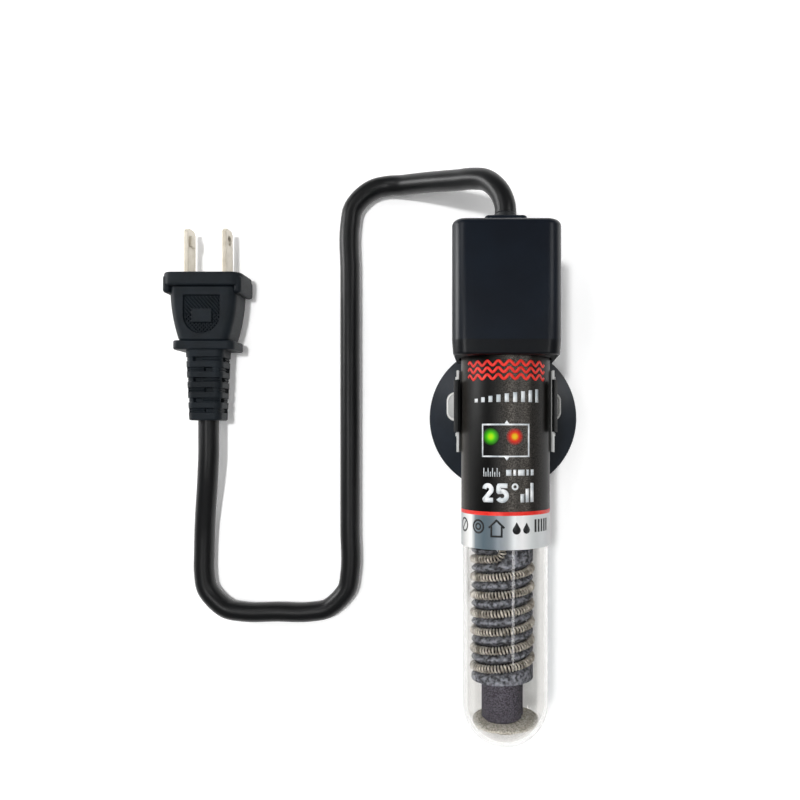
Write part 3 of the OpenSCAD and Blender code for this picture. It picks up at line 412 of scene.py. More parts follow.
# Flexible PVC, moulded: neck that grips the lead as it leaves the head, greyer than the lead
glandRubber = skin("pvcMouldedGrey", "#121416", "#1b1e21", cloudMm=4, rough=(0.4, 0.5), bump=0.1)
g = glandSettings = {"r": 3.45, "low": 49.0, "flange": 51.0, "flangeR": 6.0, "top": 61.5, "edge": 0.5}
glandLine = rounded([[0, g["low"], 0], [g["flangeR"], g["low"], 0.3], [g["flangeR"], g["flange"], 0.3],
    [g["r"], g["flange"], 0], [g["r"], g["top"], g["edge"]], [0, g["top"], 0]])
makePiece("glandNeck", turned(glandLine, 64), glandRubber, ("cord_gland",))
print("head lofted")

# Borosilicate glass, drawn and fire polished: clear, bright lines along its two edges
glassClear, glassTree, glassShader = newMaterial("borosilicateGlassDrawn",
    {"Base Color": linear("#ecebe9"), "Roughness": 0.0, "IOR": 1.47, "Transmission Weight": 1.0})
seen = addNode(glassTree, "LightPath").outputs["Is Shadow Ray"]
through = addNode(glassTree, "BsdfTransparent", {"Color": linear("#d8dadb")})
glassMix = addNode(glassTree, "MixShader", links={0: seen, 1: glassShader, 2: through})
glassTree.links.new(glassMix.outputs[0], glassTree.nodes["Material Output"].inputs["Surface"])
glassSettings = {"r": 13.0, "wall": 1.2, "domeY": -87.0, "openY": 38.0, "lip": 0.55}


# Outer dome and side, fire-polished lip, inner side and dome: one line from pole to pole
def glassProfile(s):
    a = np.linspace(0, pi / 2, 32)
    inner = s["r"] - s["wall"]
    lip = rounded([[s["r"], s["openY"] - 5, 0], [s["r"], s["openY"], s["lip"]],
        [inner, s["openY"], s["lip"]], [inner, s["openY"] - 5, 0]])
    y = np.linspace(s["domeY"], s["openY"] - 5, 26)[1:-1]
    out, back = (np.concatenate([joined(r * np.sin(a), s["domeY"] - r * np.cos(a)),
        joined(0 * y + r, y)]) for r in (s["r"], inner))
    return np.concatenate([out, lip, back[::-1]])


makePiece("glassTube", turned(glassProfile(glassSettings), 160),
    glassClear, ("glass_tube",), 60)
print("glass drawn")

# Polyester film, printed and shrunk on: charcoal ink with a fine metallic fleck. Its colour is
# multiplied by painted sheen in bands along the tube: painted highlights where lamps and paper would
# be mirrored, painted shade between them and on the right side
sleevePaintedSheen = [(-180, "#7c7c7c"), (-90, "#a8a8a8"), (-74, "#bcbcbc"), (-62, "#868686"),
    (-52, "#2c2c2c"), (-42, "#0c0c0c"), (-22, "#101010"), (-12, "#4c4c4c"), (-2, "#9c9c9c"),
    (5, "#d8d8d8"), (14, "#b0b0b0"), (25, "#cccccc"), (33, "#747474"), (50, "#686868"),
    (64, "#383838"), (92, "#5c5c5c")]


def charcoalFilmWithPaintedSheen(name):
    material = skin(name, "#3d3a36", "#7c7771", cloudMm=9, rough=(0.36, 0.46), bump=0.04,
        specular=0.22, spread=(0.42, 0.62), fleck=True)
    tint(material, turnBands(material.node_tree, sleevePaintedSheen))
    return material


sleeveFilm = charcoalFilmWithPaintedSheen("polyesterFilmPrintedCharcoal")
s = sleeveSettings = {"inner": 13.05, "outer": 13.45, "low": -38.9, "top": 24.0, "edge": 0.08}
sleeveLoop = rounded([[s["inner"], s["low"], s["edge"]], [s["outer"], s["low"], s["edge"]],
    [s["outer"], s["top"], s["edge"]], [s["inner"], s["top"], s["edge"]]], 4)
makePiece("printedSleeve", [(turned(sleeveLoop, 160), "loop")],
    sleeveFilm, ("label_sleeve",))


# Ink laid on the sleeve: a flat figure (across, along) rolled on by x = r sin(u / r), then thickened
def roll(flat, lift=0.03):
    r = sleeveSettings["outer"] + lift
    a = flat[..., 0] / r
    return joined(r * np.sin(a), flat[..., 1], axisH + r * np.cos(a))


# Bar between two corners, as a strip of columns
def bar(u0, u1, y0, y1):
    u, y = np.meshgrid(np.linspace(u0, u1, max(int((u1 - u0) / 0.6), 1) + 1), [y0, y1])
    return roll(joined(u, y)), "open"


# Ribbon of a set width along a flat line: line +- half the width along its normal
def ribbon(line, width):
    line = np.asarray(line, float)
    run = runAlong(line)
    even = np.union1d(run, np.linspace(0, run[-1], int(run[-1] / 0.3) + 2))
    line = pointsAt(line, run, even)
    way = unit(np.gradient(line, even, axis=0))
    side = joined(-way[:, 1], way[:, 0]) * width / 2
    return roll(np.stack([line - side, line + side])), "open"


# Closed ribbon: rim at full size, second row drawn in towards the middle by a share
def hoop(outline, inner):
    outline = np.asarray(outline, float)
    middle = outline.mean(0)
    return roll(np.stack([outline, middle + (outline - middle) * inner])), "disc"


def circle(u, y, r):
    a = np.arange(32) * tau / 32
    return joined(u + r * np.cos(a), y + r * np.sin(a))


# Drop: a circle drawn up to a point, with height r sin a (1 + 0.9 k) where k = sin^3 a, upper half
def drop(u, y, r):
    a = np.arange(40) * tau / 40
    lift = np.maximum(np.sin(a), 0) ** 3
    return joined(u + r * np.cos(a) * (1 - 0.55 * lift), y + r * np.sin(a) * (1 + 0.9 * lift))


def arc(u, y, r, start, end):
    a = np.radians(np.linspace(start, end, 20))
    return joined(u + r * np.cos(a), y + r * np.sin(a))


# Gives a laid film its thickness, inwards from its face
def thicken(piece, thickMm):
    wall = piece.modifiers.new("filmThickness", "SOLIDIFY")
    wall.thickness, wall.offset = thickMm * mm, -1


def addInk(name, figures, material):
    thicken(makePiece(name, figures, material), printSettings["inkMm"])


# Screen inks on polyester: opaque, slightly raised, satin
inkRed, inkWhite, inkBlack = (skin("screenInk" + name, *look, rough=(0.35, 0.45))
    for name, *look in (("Red", "#d5241c", "#ee3a2e", 2.5), ("White", "#b4bdc2", "#f4f6f7", 3.5),
                        ("Black", "#121314", "#1d1f21", 2.5)))
q = printSettings = {"waveHalf": 13.2, "waveRows": (14.7, 12.75, 10.8), "waveLength": 3.3,
    "waveHeight": 0.66, "waveLine": 0.8, "barCount": 9, "barHalf": 9.6, "barLow": 3.5,
    "barTall": (1.1, 3.8), "barWide": 1.2, "frame": (-7.5, 6.9, -12.3, -2.7), "frameLine": 0.42,
    "pointer": 1.1, "numberY": (-25.3, -19.8), "numberLine": 1.35, "bandY": (-38.9, -29.1),
    "lineY": (-29.1, -28.0), "signY": -32.4, "signLift": 0.0026, "inkMm": 0.02}
u = np.linspace(-q["waveHalf"], q["waveHalf"], 90)
addInk("inkWaves", [ribbon(joined(u, y + q["waveHeight"] * np.sin(u * tau / q["waveLength"])),
    q["waveLine"]) for y in q["waveRows"]], inkRed)

barPlaces = np.linspace(-q["barHalf"], q["barHalf"], q["barCount"])
barHeights = np.linspace(*q["barTall"], q["barCount"])
left, right, low, high = q["frame"]
line, tip = q["frameLine"], q["pointer"]
frameInk = [bar(left, right, high - line * 1.2, high), bar(left, right, low, low + line),
    bar(left, left + line, low, high), bar(right - line * 1.3, right, low, high)]
pointers = [hoop([[-0.75, edge], [0.75, edge], [0, edge + way * tip]], 0.0)
    for edge, way in ((high - 0.1, 1), (low + 0.1, -1))]
ticks = [bar(x, x + 0.26, -17.9, -17.9 + tall) for x, tall in
    zip(np.arange(-7.0, -2.2, 0.68), np.tile([2.5, 1.4], 4))]
dashes = [bar(x, x + w, -17.6, -15.9) for x, w in
    ((-0.2, 1.5), (1.9, 0.8), (3.3, 2.0), (5.9, 0.8), (7.3, 1.1))]
lowY, highY = q["numberY"]
middleY = (lowY + highY) / 2
pen = q["numberLine"] / 2
two = np.concatenate([arc(-5.6, highY - 1.75, 1.1, 175, -40),
    [[-6.75, lowY + pen + 0.1]], joined(np.linspace(-6.7, -4.0, 6), np.full(6, lowY + pen))])
five = np.concatenate([joined(np.linspace(0.2, -2.3, 6), np.full(6, highY - pen)),
    [[-2.4, middleY + 0.5]], arc(-1.35, middleY - 0.85, 1.3, 125, -150)])
addInk("inkScale", [bar(x - q["barWide"] / 2, x + q["barWide"] / 2, q["barLow"], q["barLow"] + tall)
    for x, tall in zip(barPlaces, barHeights)] + frameInk + pointers + ticks + dashes
    + [ribbon(two, q["numberLine"]), ribbon(five, q["numberLine"]),
       hoop(circle(2.4, highY - 1.0, 1.0), 0.45)]
    + [bar(x, x + 1.15, lowY, lowY + tall) for x, tall in ((4.0, 2.4), (5.6, 3.9), (7.2, 5.5))],
    inkWhite)

# Aluminium foil, rolled and laid round: its colour is painted reflections, bright and blue-grey bands
# that follow the turn of the tube
foil, foilTree, foilShader = newMaterial("aluminiumFoilRolled",
    {"Roughness": 0.32, "Metallic": 0.25, "IOR": 1.5})
foilPaintedReflections = [(-180, "#a9b2b7"), (-90, "#9aa2a6"), (-75, "#b5b9ba"), (-62, "#e6e6e4"),
    (-50, "#f6f6f4"), (-42, "#7b878e"), (-30, "#5d6d76"), (-16, "#68737b"), (-8, "#81888e"),
    (0, "#a9aeb1"), (7, "#d2d6d7"), (20, "#ffffff"), (33, "#e4e8e8"), (48, "#d0d3d4"),
    (65, "#c4c6c7"), (92, "#b4b7b8")]
foilTree.links.new(turnBands(foilTree, foilPaintedReflections), foilShader.inputs["Base Color"])


# Thin ring round the sleeve between two lengths
def laidRing(low, high, lift):
    r = sleeveSettings["outer"]
    loop = rounded([[r - 0.02, low, 0], [r + lift, low, 0], [r + lift, high, 0], [r - 0.02, high, 0]])
    return turned(loop, 160), "loop"


makePiece("silverBand", [laidRing(*q["bandY"], 0.03)], foil)
makePiece("redLine", [laidRing(*q["lineY"], 0.04)], inkRed)
signY = q["signY"]
signs = [hoop(circle(-15.4, signY, 2.15), 0.74),
    ribbon([[-16.4, signY - 1.2], [-14.4, signY + 1.2]], 0.4),
    hoop(circle(-8.85, signY, 2.1), 0.72), hoop(circle(-8.85, signY, 1.1), 0.52),
    ribbon([[-5.3, signY - 0.2], [-3.0, signY + 2.0], [-0.7, signY - 0.2]], 0.6),
    bar(-4.8, -4.25, signY - 2.6, signY + 0.2), bar(-1.75, -1.2, signY - 2.6, signY + 0.2),
    bar(-4.8, -1.2, signY - 2.9, signY - 2.35),
    hoop(drop(2.85, signY - 0.85, 1.2), 0.0), hoop(drop(5.9, signY - 0.85, 1.08), 0.0)]
signs += [bar(x, x + 0.75, signY - 1.7, signY + 2.0) for x in (8.7, 10.0, 11.3, 12.6, 13.9)]
# The signs lie on the silver band, so a share of the radius lifts them
lift = q["signLift"]
addInk("inkSigns", [(grid + (grid - [0, grid[..., 1].mean(), axisH]) * [lift, 0, lift], kind)
    for grid, kind in signs], inkBlack)

# Lamps seen through the film: a yellow core in a coloured glow that fades out into the charcoal
glowSettings = {
    "lampGlowGreen": (-4.65, {0.0: "#c0e803", 0.24: "#a0e202", 0.4: "#64d406", 0.55: "#3cb008"}),
    "lampGlowRed": (2.3, {0.0: "#e2c105", 0.24: "#e0ac07", 0.4: "#da5808", 0.55: "#d02411"}),
}
glowR, glowY, glowLift, glowMm = 2.6, -6.4, 0.02, 0.015
filmR = s["outer"]
# Share of the glow's radius, then what is left there of its outer colour
glowFade = {0.7: 0.6, 0.82: 0.33, 0.92: 0.12, 1.0: 0.0}
for glowName, (glowX, glowHues) in glowSettings.items():
    glow = charcoalFilmWithPaintedSheen(glowName + "Film")
    glowTree = glow.node_tree
    glowShader = glowTree.nodes["Principled BSDF"]
    glowShader.inputs["Emission Strength"].default_value = 1.0
    turn = glowX / filmR
    centre = [v * mm for v in (filmR * sin(turn), glowY, axisH + filmR * cos(turn))]
    spot = addNode(glowTree, "VectorMath DISTANCE", {1: centre},
        {0: addNode(glowTree, "TexCoord").outputs["Object"]})
    share = addNode(glowTree, "MapRange", {"From Max": glowR * mm}, {"Value": spot.outputs["Value"]})
    washed = addNode(glowTree, "MapRange", {"From Min": 0.55, "To Min": 0.12}, {"Value": share})
    tint(glow, washed.outputs[0])
    ramp = addNode(glowTree, "ValToRGB", links={0: share})
    hues = [(at, linear(glowHex)) for at, glowHex in glowHues.items()]
    setStops(ramp, hues + [(at, [c * part for c in hues[-1][1][:3]] + [1])
        for at, part in glowFade.items()])
    glowTree.links.new(ramp.outputs[0], glowShader.inputs["Emission Color"])
    middle = [glowX, glowY]
    circles = np.linspace(1, 0, 8)[:, None, None] * (circle(*middle, glowR) - middle) + middle
    disc = makePiece(glowName, [(roll(circles, glowLift), "disc")], glow)
    thicken(disc, glowMm)
print("sleeve wrapped and printed")

e = elementSettings = {"x": -1.0, "coilR": 8.7, "strandR": 1.25, "pitch": 5.37, "turns": 6,
    "lowY": -74.3, "front": 270.0, "lowEnd": 90.0, "bendR": 2.6, "wireR": 0.26, "wirePitch": 0.92,
    "crestR": 9.4, "grooveDepth": 2.2, "grooveShape": 3.2, "edge": 0.2, "bore": 6.35,
    "coreR": 6.3, "coreLow": -91.8, "coreTop": -31.52, "coreRim": 0.8,
    "notchTurns": (90.0, -12.0), "notchW": 2.0, "notchIn": 1.8}
climb = atan(e["pitch"] / (tau * e["coilR"]))
halfTurnMm = pi * e["coilR"]
highEnd = e["front"] + 360 * e["turns"]
bendTurn = e["bendR"] * (1 - sin(climb)) / halfTurnMm * 180
helixStart, helixEnd = e["lowEnd"] + bendTurn, highEnd - bendTurn


# Height of the winding's middle line at an angle in degrees, one pitch a turn
def strandHeight(angle):
    return e["lowY"] + e["pitch"] * (angle - e["front"]) / 360


# Points at a radius, an angle and a length: x = x0 + r cos a, z = axis - r sin a
def onElement(r, angle, y):
    r, a, y = np.broadcast_arrays(r, np.radians(angle), y)
    return joined(e["x"] + r * np.cos(a), y, axisH - r * np.sin(a))


# Middle line of the strand, as angle and height: straight end, bend, helix, bend, straight end
def strandLine():
    turn = np.linspace(pi / 2, climb, 14)
    bend = e["bendR"] * joined((np.sin(turn) - sin(climb)) / halfTurnMm * 180,
                               cos(climb) - np.cos(turn))
    low = [helixStart, strandHeight(helixStart)] - bend
    high = [helixEnd, strandHeight(helixEnd)] + bend[::-1]
    angle = np.linspace(helixStart, helixEnd, 700)[1:-1]
    middle = joined(angle, strandHeight(angle))
    straight = 2 * e["strandR"]
    lowBend, highBend = low[0, 1], high[-1, 1]
    line = np.concatenate([[[e["lowEnd"], lowBend - straight]], low, middle, high,
                           [[highEnd, highBend + straight]]])
    return line, lowBend, highBend


strand, lowBend, highBend = strandLine()


# Spiral wire round that line: wire middle = line + r (cos f out + sin f side), f one turn a pitch
def spiralWire():
    points = onElement(e["coilR"], strand[:, 0], strand[:, 1])
    run = runAlong(points)
    lengths = np.linspace(0, run[-1], int(run[-1] / e["wirePitch"] * 10))
    line = pointsAt(points, run, lengths)
    out = unit((line - [e["x"], 0, axisH]) * [1, 0, 1])
    side = unit(np.cross(unit(np.gradient(line, axis=0)), out))
    f = (lengths / e["wirePitch"] * tau)[:, None]
    spoke = np.cos(f) * out + np.sin(f) * side
    wire = line + (e["strandR"] - e["wireR"]) * spoke
    heading = unit(np.gradient(wire, axis=0))
    return ringsRound(wire, e["wireR"], 5, spoke, np.cross(heading, spoke))


# Nickel-chrome wire, drawn and wound on a mandrel: matt beige grey with a ticked look; painted shade
# darkens it towards the inside of its spiral, and its outside is painted a little lighter
wireMetal = skin("nichromeWireOxidised", "#776e63", "#d6cec2", cloudMm=1.8, grainMm=0.5,
    rough=(0.4, 0.55), bump=0.1, metallic=0.2)
shadeBy(wireMetal, e["coilR"] - e["strandR"], e["coilR"] + e["strandR"], (0.1, 1.1), (e["x"], axisH))
makePiece("heatingWire", spiralWire(), wireMetal, ("heating_coil",), 80)


# Distance from a point of the rolled-out cylinder to the strand's helix, bends and straight ends
def grooveDistance(angle, z):
    bendR = e["bendR"]
    near = angle + 360 * np.round((strandAngle(z) - angle) / 360)
    near = np.clip(near, angle + 360 * np.ceil((helixStart - angle) / 360),
                   angle + 360 * np.floor((helixEnd - angle) / 360))
    helix = np.abs(z - strandHeight(near)) * cos(climb)
    ends = []
    for side, end, height in ((-1, e["lowEnd"], strandHeight(helixStart)),
                              (1, highEnd, strandHeight(helixEnd))):
        turn = angle - end
        u = side * (turn - 360 * np.round(turn / 360)) / 180 * halfTurnMm + bendR
        v = side * (z - height) - bendR * cos(climb)
        bend = np.where(u > 0, np.abs(np.hypot(u, v) - bendR), e["pitch"])
        ends.append(np.where(v >= 0, np.abs(u - bendR), bend))
    return np.minimum(helix, np.minimum(*ends))


def strandAngle(z):
    return e["front"] + (z - e["lowY"]) / e["pitch"] * 360


# Ribbed former: r = crest - depth (1 - sin(90 d) ^ shape), d = distance to the strand in half pitches
def formerGrid(rowCount=300, columns=240):
    z = np.linspace(lowBend + e["edge"], highBend - e["edge"], rowCount)[:, None]
    angle = (np.arange(columns) * 360 / columns)[None, :]
    share = np.minimum(grooveDistance(angle, z) / (e["pitch"] / 2), 1)
    r = e["crestR"] - e["grooveDepth"] * (1 - np.sin(np.pi / 2 * share) ** e["grooveShape"])
    r += 0.035 * np.sin(angle * 0.61 + z * 9.1) * np.sin(angle * 0.37 - z * 5.3) - 0.03
    outer = onElement(r, angle, z)
    bore = onElement(e["bore"], angle, z[[-1, 0]])
    return np.concatenate([outer, bore])


# Steatite, extruded and fired: dark grey violet and gritty; painted shade darkens it towards the floor
# of its grooves, so the crests read paler
formerCeramic = skin("steatiteFiredRibbed", "#26272b", "#8b8c95", cloudMm=1.1, grainMm=0.4,
    rough=(0.6, 0.8), bump=0.9, specular=0.3, spread=(0.38, 0.66))
shadeBy(formerCeramic, e["crestR"] - e["grooveDepth"], e["crestR"], (0.05, 1.0), (e["x"], axisH))
makePiece("ribbedFormer", [(formerGrid(), "loop")], formerCeramic,
    ("element_former",), 50)


# Core rod: circle with two keyways, each with a flat floor: r = floor / cos(turn from its middle)
def coreGrid(columns=192):
    angle = np.arange(columns) * 360 / columns
    r = np.full(columns, e["coreR"])
    floor, rim = e["coreR"] - e["notchIn"], e["coreRim"]
    for notch in e["notchTurns"]:
        turn = np.radians(angle - notch)
        inside = (np.cos(turn) > 0) & (np.abs(np.sin(turn)) * floor < e["notchW"] / 2)
        r = np.where(inside, floor / np.maximum(np.cos(turn), 0.1), r)
    y = np.array([e["coreLow"], e["coreLow"], e["coreLow"] + rim, e["coreTop"], e["coreTop"]])
    inset = np.array([99, rim, 0, 0, 99])
    return onElement(np.maximum(r[None] - inset[:, None], 0), angle[None], y[:, None])


# Steatite, pressed: the same clay as the former, with a coarser grain
coreCeramic = skin("steatitePressedRod", "#1d1a21", "#56515b", cloudMm=1.6, grainMm=0.4,
    rough=(0.65, 0.85), bump=0.5, specular=0.3, spread=(0.4, 0.62), fleck=True)
makePiece("coreRod", coreGrid(), coreCeramic, ("element_core",), 35)

# Ceramic fibre, felted and pressed: beige with dark and pale specks
padFibre = skin("ceramicFibrePad", "#7f786d", "#cdc7bb", cloudMm=3, grainMm=0.4,
    rough=(0.85, 0.95), bump=0.6, spread=(0.38, 0.62), fleck=True)
d = padSettings = {"flatR": 4.5, "slopeR": 9.71, "r": 10.21, "low": -95.5, "rim": -92.5, "top": -91.8,
    "paler": (-92.1, -92.3, (1.0, 1.5))}
# The pad's colour is 1.5 times paler below the top of its rim
shadeBy(padFibre, *d["paler"])
padLoop = rounded([[0, d["low"], 0], [d["flatR"], d["low"], 0.4], [d["slopeR"], d["rim"], 0],
    [d["r"], d["rim"], 0.2], [d["r"], d["top"], 0.25], [0, d["top"], 0]])
makePiece("endPad", turned(padLoop, 96), padFibre, ("end_pad",))
print("element wound")

# Polyacetal, moulded: light grey liner and eared plate
linerPlastic = skin("acetalMouldedGrey", "#b4b5b4", "#c8c9c7", cloudMm=8, rough=(0.4, 0.5))
# Nylon, moulded: near-black clip
clipPlastic = skin("nylonMouldedBlack", "#090a0b", "#0e0f10", cloudMm=8, rough=(0.5, 0.6),
    bump=0.06, specular=0.06)
h = holderSettings = {"liner": 0.12, "clip": 0.2, "ears": 0.35, "borePaintedShade": (13.9, 14.1, (0.1, 1.0))}
# Painted shade: within 13.9 mm of the tube's middle line the liner's colour drops to 0.1, where sleeve
# and clip shade its bore
shadeBy(linerPlastic, *h["borePaintedShade"], (0, axisH))
softened("grip_liner", "gripLiner", linerPlastic, h["liner"], "grip")
softened("clip_body", "clipBody", clipPlastic, h["clip"], "clip")
softened("ear_plate", "earPlate", linerPlastic, h["ears"], "clip")
# The same acetal, painted lighter as a highlight, on the raised border round each ear
rimPaintedHighlight = skin("acetalRimPaintedHighlight", "#d6d6d3", "#e6e6e3", cloudMm=5, rough=(0.25, 0.35),
    bump=0.04)
k = earSettings = {"inner": 12.5, "outer": 18.5, "half": 4.35, "y": 3.5, "top": 11.3,
    "corner": 2.55, "r": 0.3}
earLine = rounded([[k["inner"], k["half"], 0], [k["outer"], k["half"], k["corner"]],
    [k["outer"], -k["half"], k["corner"]], [k["inner"], -k["half"], 0]], 16)
earPath = joined(earLine[:, 0], earLine[:, 1] + k["y"], 0 * earLine[:, 0] + k["top"])
makePiece("earRims", [(tubeAlong(earPath * [side, 1, 1], k["r"], 10), "closed") for side in (-1, 1)],
    rimPaintedHighlight, body="clip")

# Nitrile rubber, press moulded: slate black, soft sheen
cupRubber = skin("nitrileMouldedSlate", "#141a21", "#1a212a", cloudMm=10, grainMm=0.4,
    rough=(0.3, 0.4), bump=0.06)
cupSettings = {"r": 25.5, "h": 8.2, "lip": 1.0, "lipW": 1.8, "hollow": 3.4, "shoulder": 8.0,
    "neck": 4.0, "knobLow": 11.6, "knobR": 5.5, "knobTop": 13.5, "slope": 0.75}


# Back: height = lip + (h - lip)(s t + (1 - s) t^2); hollow: a quarter sine from the ring to the middle
def cupProfile(s):
    r, ring = s["r"], s["r"] - 0.4 - s["lipW"]
    t = np.linspace(0, 1, 24)[1:-1]
    back = joined(r - 0.2 + (s["shoulder"] - r + 0.2) * t,
        s["lip"] + (s["h"] - s["lip"]) * (s["slope"] * t + (1 - s["slope"]) * t * t))
    lip = rounded([[ring, 0, 0], [r - 0.3, 0, 0.25], [r, s["lip"] * 0.5, 0.3],
        [r - 0.2, s["lip"], 0.2], back[0].tolist() + [0]])
    crown = rounded([back[-1].tolist() + [0], [s["shoulder"], s["h"], 0.8], [s["neck"], s["h"], 0.3],
        [s["neck"], s["knobLow"], 0.2], [s["knobR"], s["knobLow"], 0.15],
        [s["knobR"], s["knobLow"] + 0.5, 0.2], [s["knobR"] - 0.8, s["knobTop"], 0.4],
        [0, s["knobTop"], 0]])
    u = np.linspace(0, 1, 20)[:-1] * pi / 2
    hollow = joined(ring * np.sin(u), s["hollow"] * np.cos(u))
    return np.concatenate([hollow, lip, back[1:-1], crown])


# Profile (radius, height) turned about the cup's upright line
def turnedUp(profile, columns=128):
    angle = np.arange(columns) * tau / columns
    r, z = profile[:, 0, None], profile[:, 1, None]
    return joined(r * np.cos(angle), r * np.sin(angle), z + 0 * angle)


makePiece("suctionCup", turnedUp(cupProfile(cupSettings)), cupRubber,
    ("suction_cup",), 40, "cup")
print("holder fitted")

# Flexible PVC, moulded over the contacts: blue black, fine matte grain
plugPvc = skin("pvcMouldedBlueBlack", "#0c1217", "#141b21", cloudMm=7, rough=(0.45, 0.6),
    bump=0.25, specular=0.26)
p = plugSettings = {"x": -99.5, "z": 7.2, "tail": -1.0, "collar": 22.4, "grip": 25.4, "flange": 43.2,
    "front": 47.8, "flangeW": 26.0, "flangeD": 14.2, "gripW": 22.2, "waistW": 16.4, "gripD": 12.4,
    "collarW": 20.4, "collarD": 11.6, "reliefW": 12.7, "reliefD": 10.4, "tailW": 10.9,
    "tailD": 9.2, "sideCurve": 2.1, "gripCorner": 2.6, "reliefCorner": 2.4, "lugW": 2.5, "lugL": 2.3,
    "bladeEdge": 0.25}


# Sections of the plug along its length, each the full one less an inset, closed at both ends
def plugLoft(halfW, halfD, corner, line, arcSteps, flatSteps):
    inset, y = line.T
    full = (np.pad(np.maximum(size - inset, 0), 1) for size in (halfW, halfD, corner))
    return alongY(roundSections(*full, arcSteps, flatSteps), np.pad(y, 1, "edge"), p["x"], p["z"])


# Block with rounded ends
def plugBlock(halfW, halfD, corner, low, high, edge):
    line = rounded([[halfD - 0.2, low, 0], [0, low, edge], [0, high, edge], [halfD - 0.2, high, 0]])
    return plugLoft(halfW, halfD, corner, line, 9, (5, 1, 5, 1))


# 1 where a size is above 0 and 0 below, with a wall of a set width between them
def above(size, wall):
    return np.clip(0.5 + size / wall, 0, 1)


# Rows of (inset 0, length) from one length to another
def plainRows(low, high, count):
    y = np.linspace(low, high, count)
    return joined(0 * y, y)


# Panel sunk in the grip's upper face: U-shaped, with slanting ribs and a plain raised block
panelSettings = {"halfW": 6.0, "length": 12.6, "drop": 3.0, "depth": 0.75, "wall": 0.2,
    "blockW": 3.35, "blockL": 4.6, "blockDrop": 4.4, "rib": 0.5, "ribPitch": 0.92,
    "rise": 0.9, "rim": 0.35}


def panelDrop(x, y):
    s = panelSettings
    top = p["flange"] - s["drop"]
    mid = top - s["length"] + s["halfW"]
    outside = np.where(y > mid, np.maximum(np.abs(x) - s["halfW"], y - top),
                       np.hypot(x, y - mid) - s["halfW"])
    blockMiddle = top - s["blockDrop"] - s["blockL"] / 2
    offBlock = np.maximum(np.abs(x) - s["blockW"], np.abs(y - blockMiddle) - s["blockL"] / 2)
    wave = tau / s["ribPitch"] / hypot(1, s["rise"])
    lines, cross = (np.clip(0.5 + 1.2 * np.sin((x + y * way) * wave), 0, 1)
        for way in (s["rise"], -s["rise"]))
    ribs = np.where(y < mid + 0.4, lines * cross, lines)
    ribs = ribs * np.clip((-outside - s["rim"]) / s["wall"], 0, 1)
    sunk = above(-outside, s["wall"]) * (1 - above(-offBlock, s["wall"]))
    return sunk * (s["depth"] - s["rib"] * ribs)


# Grip: its half width runs from the waist to the shoulder by 1 - (1 - t)^sideCurve
def gripGrid():
    low, high = p["grip"], p["flange"]
    edge = rounded([[1.6, low, 0], [0, low, 0.5], [0, high, 0.5], [1.6, high, 0]])
    line = np.concatenate([edge[edge[:, 1] < low + 1], plainRows(low + 0.6, high - 0.6, 190),
                           edge[edge[:, 1] > high - 1]])
    t = np.clip((line[:, 1] - low) / (high - low), 0, 1)
    halfW = (p["waistW"] + (p["gripW"] - p["waistW"]) * (1 - (1 - t) ** p["sideCurve"])) / 2
    grid = plugLoft(halfW, p["gripD"] / 2, p["gripCorner"], line, 9, (150, 3, 3, 3))
    x = grid[..., 0] - p["x"]
    flatTop = grid[..., 2] > p["z"] + p["gripD"] / 2 - 1e-6
    grid[..., 2] -= np.where(flatTop, panelDrop(x, grid[..., 1]), 0)
    return grid


# Rounded lug behind each end of the flange
def flangeLug(side):
    lug = plugBlock(p["lugW"] / 2, p["flangeD"] / 2 - 0.6, 1.2, p["flange"] - p["lugL"],
        p["front"] - 1, 1.1)
    lug[..., 0] += side * (p["flangeW"] - p["lugW"] - 0.1) / 2
    return lug


plugShell = makePiece("plugShell", [(grid, "closed") for grid in (
    plugBlock(p["flangeW"] / 2, p["flangeD"] / 2, 3.2, p["flange"], p["front"], 0.8),
    flangeLug(-1), flangeLug(1), gripGrid(),
    plugBlock(p["collarW"] / 2, p["collarD"] / 2, 2.2, p["collar"], p["grip"], 0.5),
)], plugPvc, ("plug_body",), 40)

# Strain relief: a tapered sleeve with six grooves, each with a ridge along its middle, and cut to a
# deep slot with a bridge beyond it on one side in turn
reliefSettings = {"first": 2.6, "pitch": 3.4, "slot": 1.35, "rows": 6, "groove": 0.55, "deep": 1.35,
    "slotIn": 0.4, "slotOut": 3.2, "bridge": 0.12, "ridge": 0.2, "ridgeH": 0.4, "wall": 0.16}


# 1 between low and high, 0 outside, with walls of a set width
def between(v, low, high, wall):
    return above(v - low, wall) * above(high - v, wall)


def reliefDepth(u, y):
    s = reliefSettings
    row = np.floor((y - p["tail"] - s["first"] + (s["pitch"] - s["slot"]) / 2) / s["pitch"])
    row = np.clip(row, 0, s["rows"] - 1)
    v = y - p["tail"] - s["first"] - row * s["pitch"]
    u = u * np.where(row % 2 == 0, 1, -1)
    inRow = between(v, 0, s["slot"], s["wall"])
    ridge = between(v, (s["slot"] - s["ridgeH"]) / 2, (s["slot"] + s["ridgeH"]) / 2, s["wall"])
    slot = between(u, s["slotIn"], s["slotOut"], s["wall"])
    shallow = s["groove"] - (s["groove"] - s["ridge"]) * ridge
    depth = shallow + (s["deep"] - shallow) * slot
    return inRow * (depth + (s["bridge"] - depth) * above(u - s["slotOut"], s["wall"]))


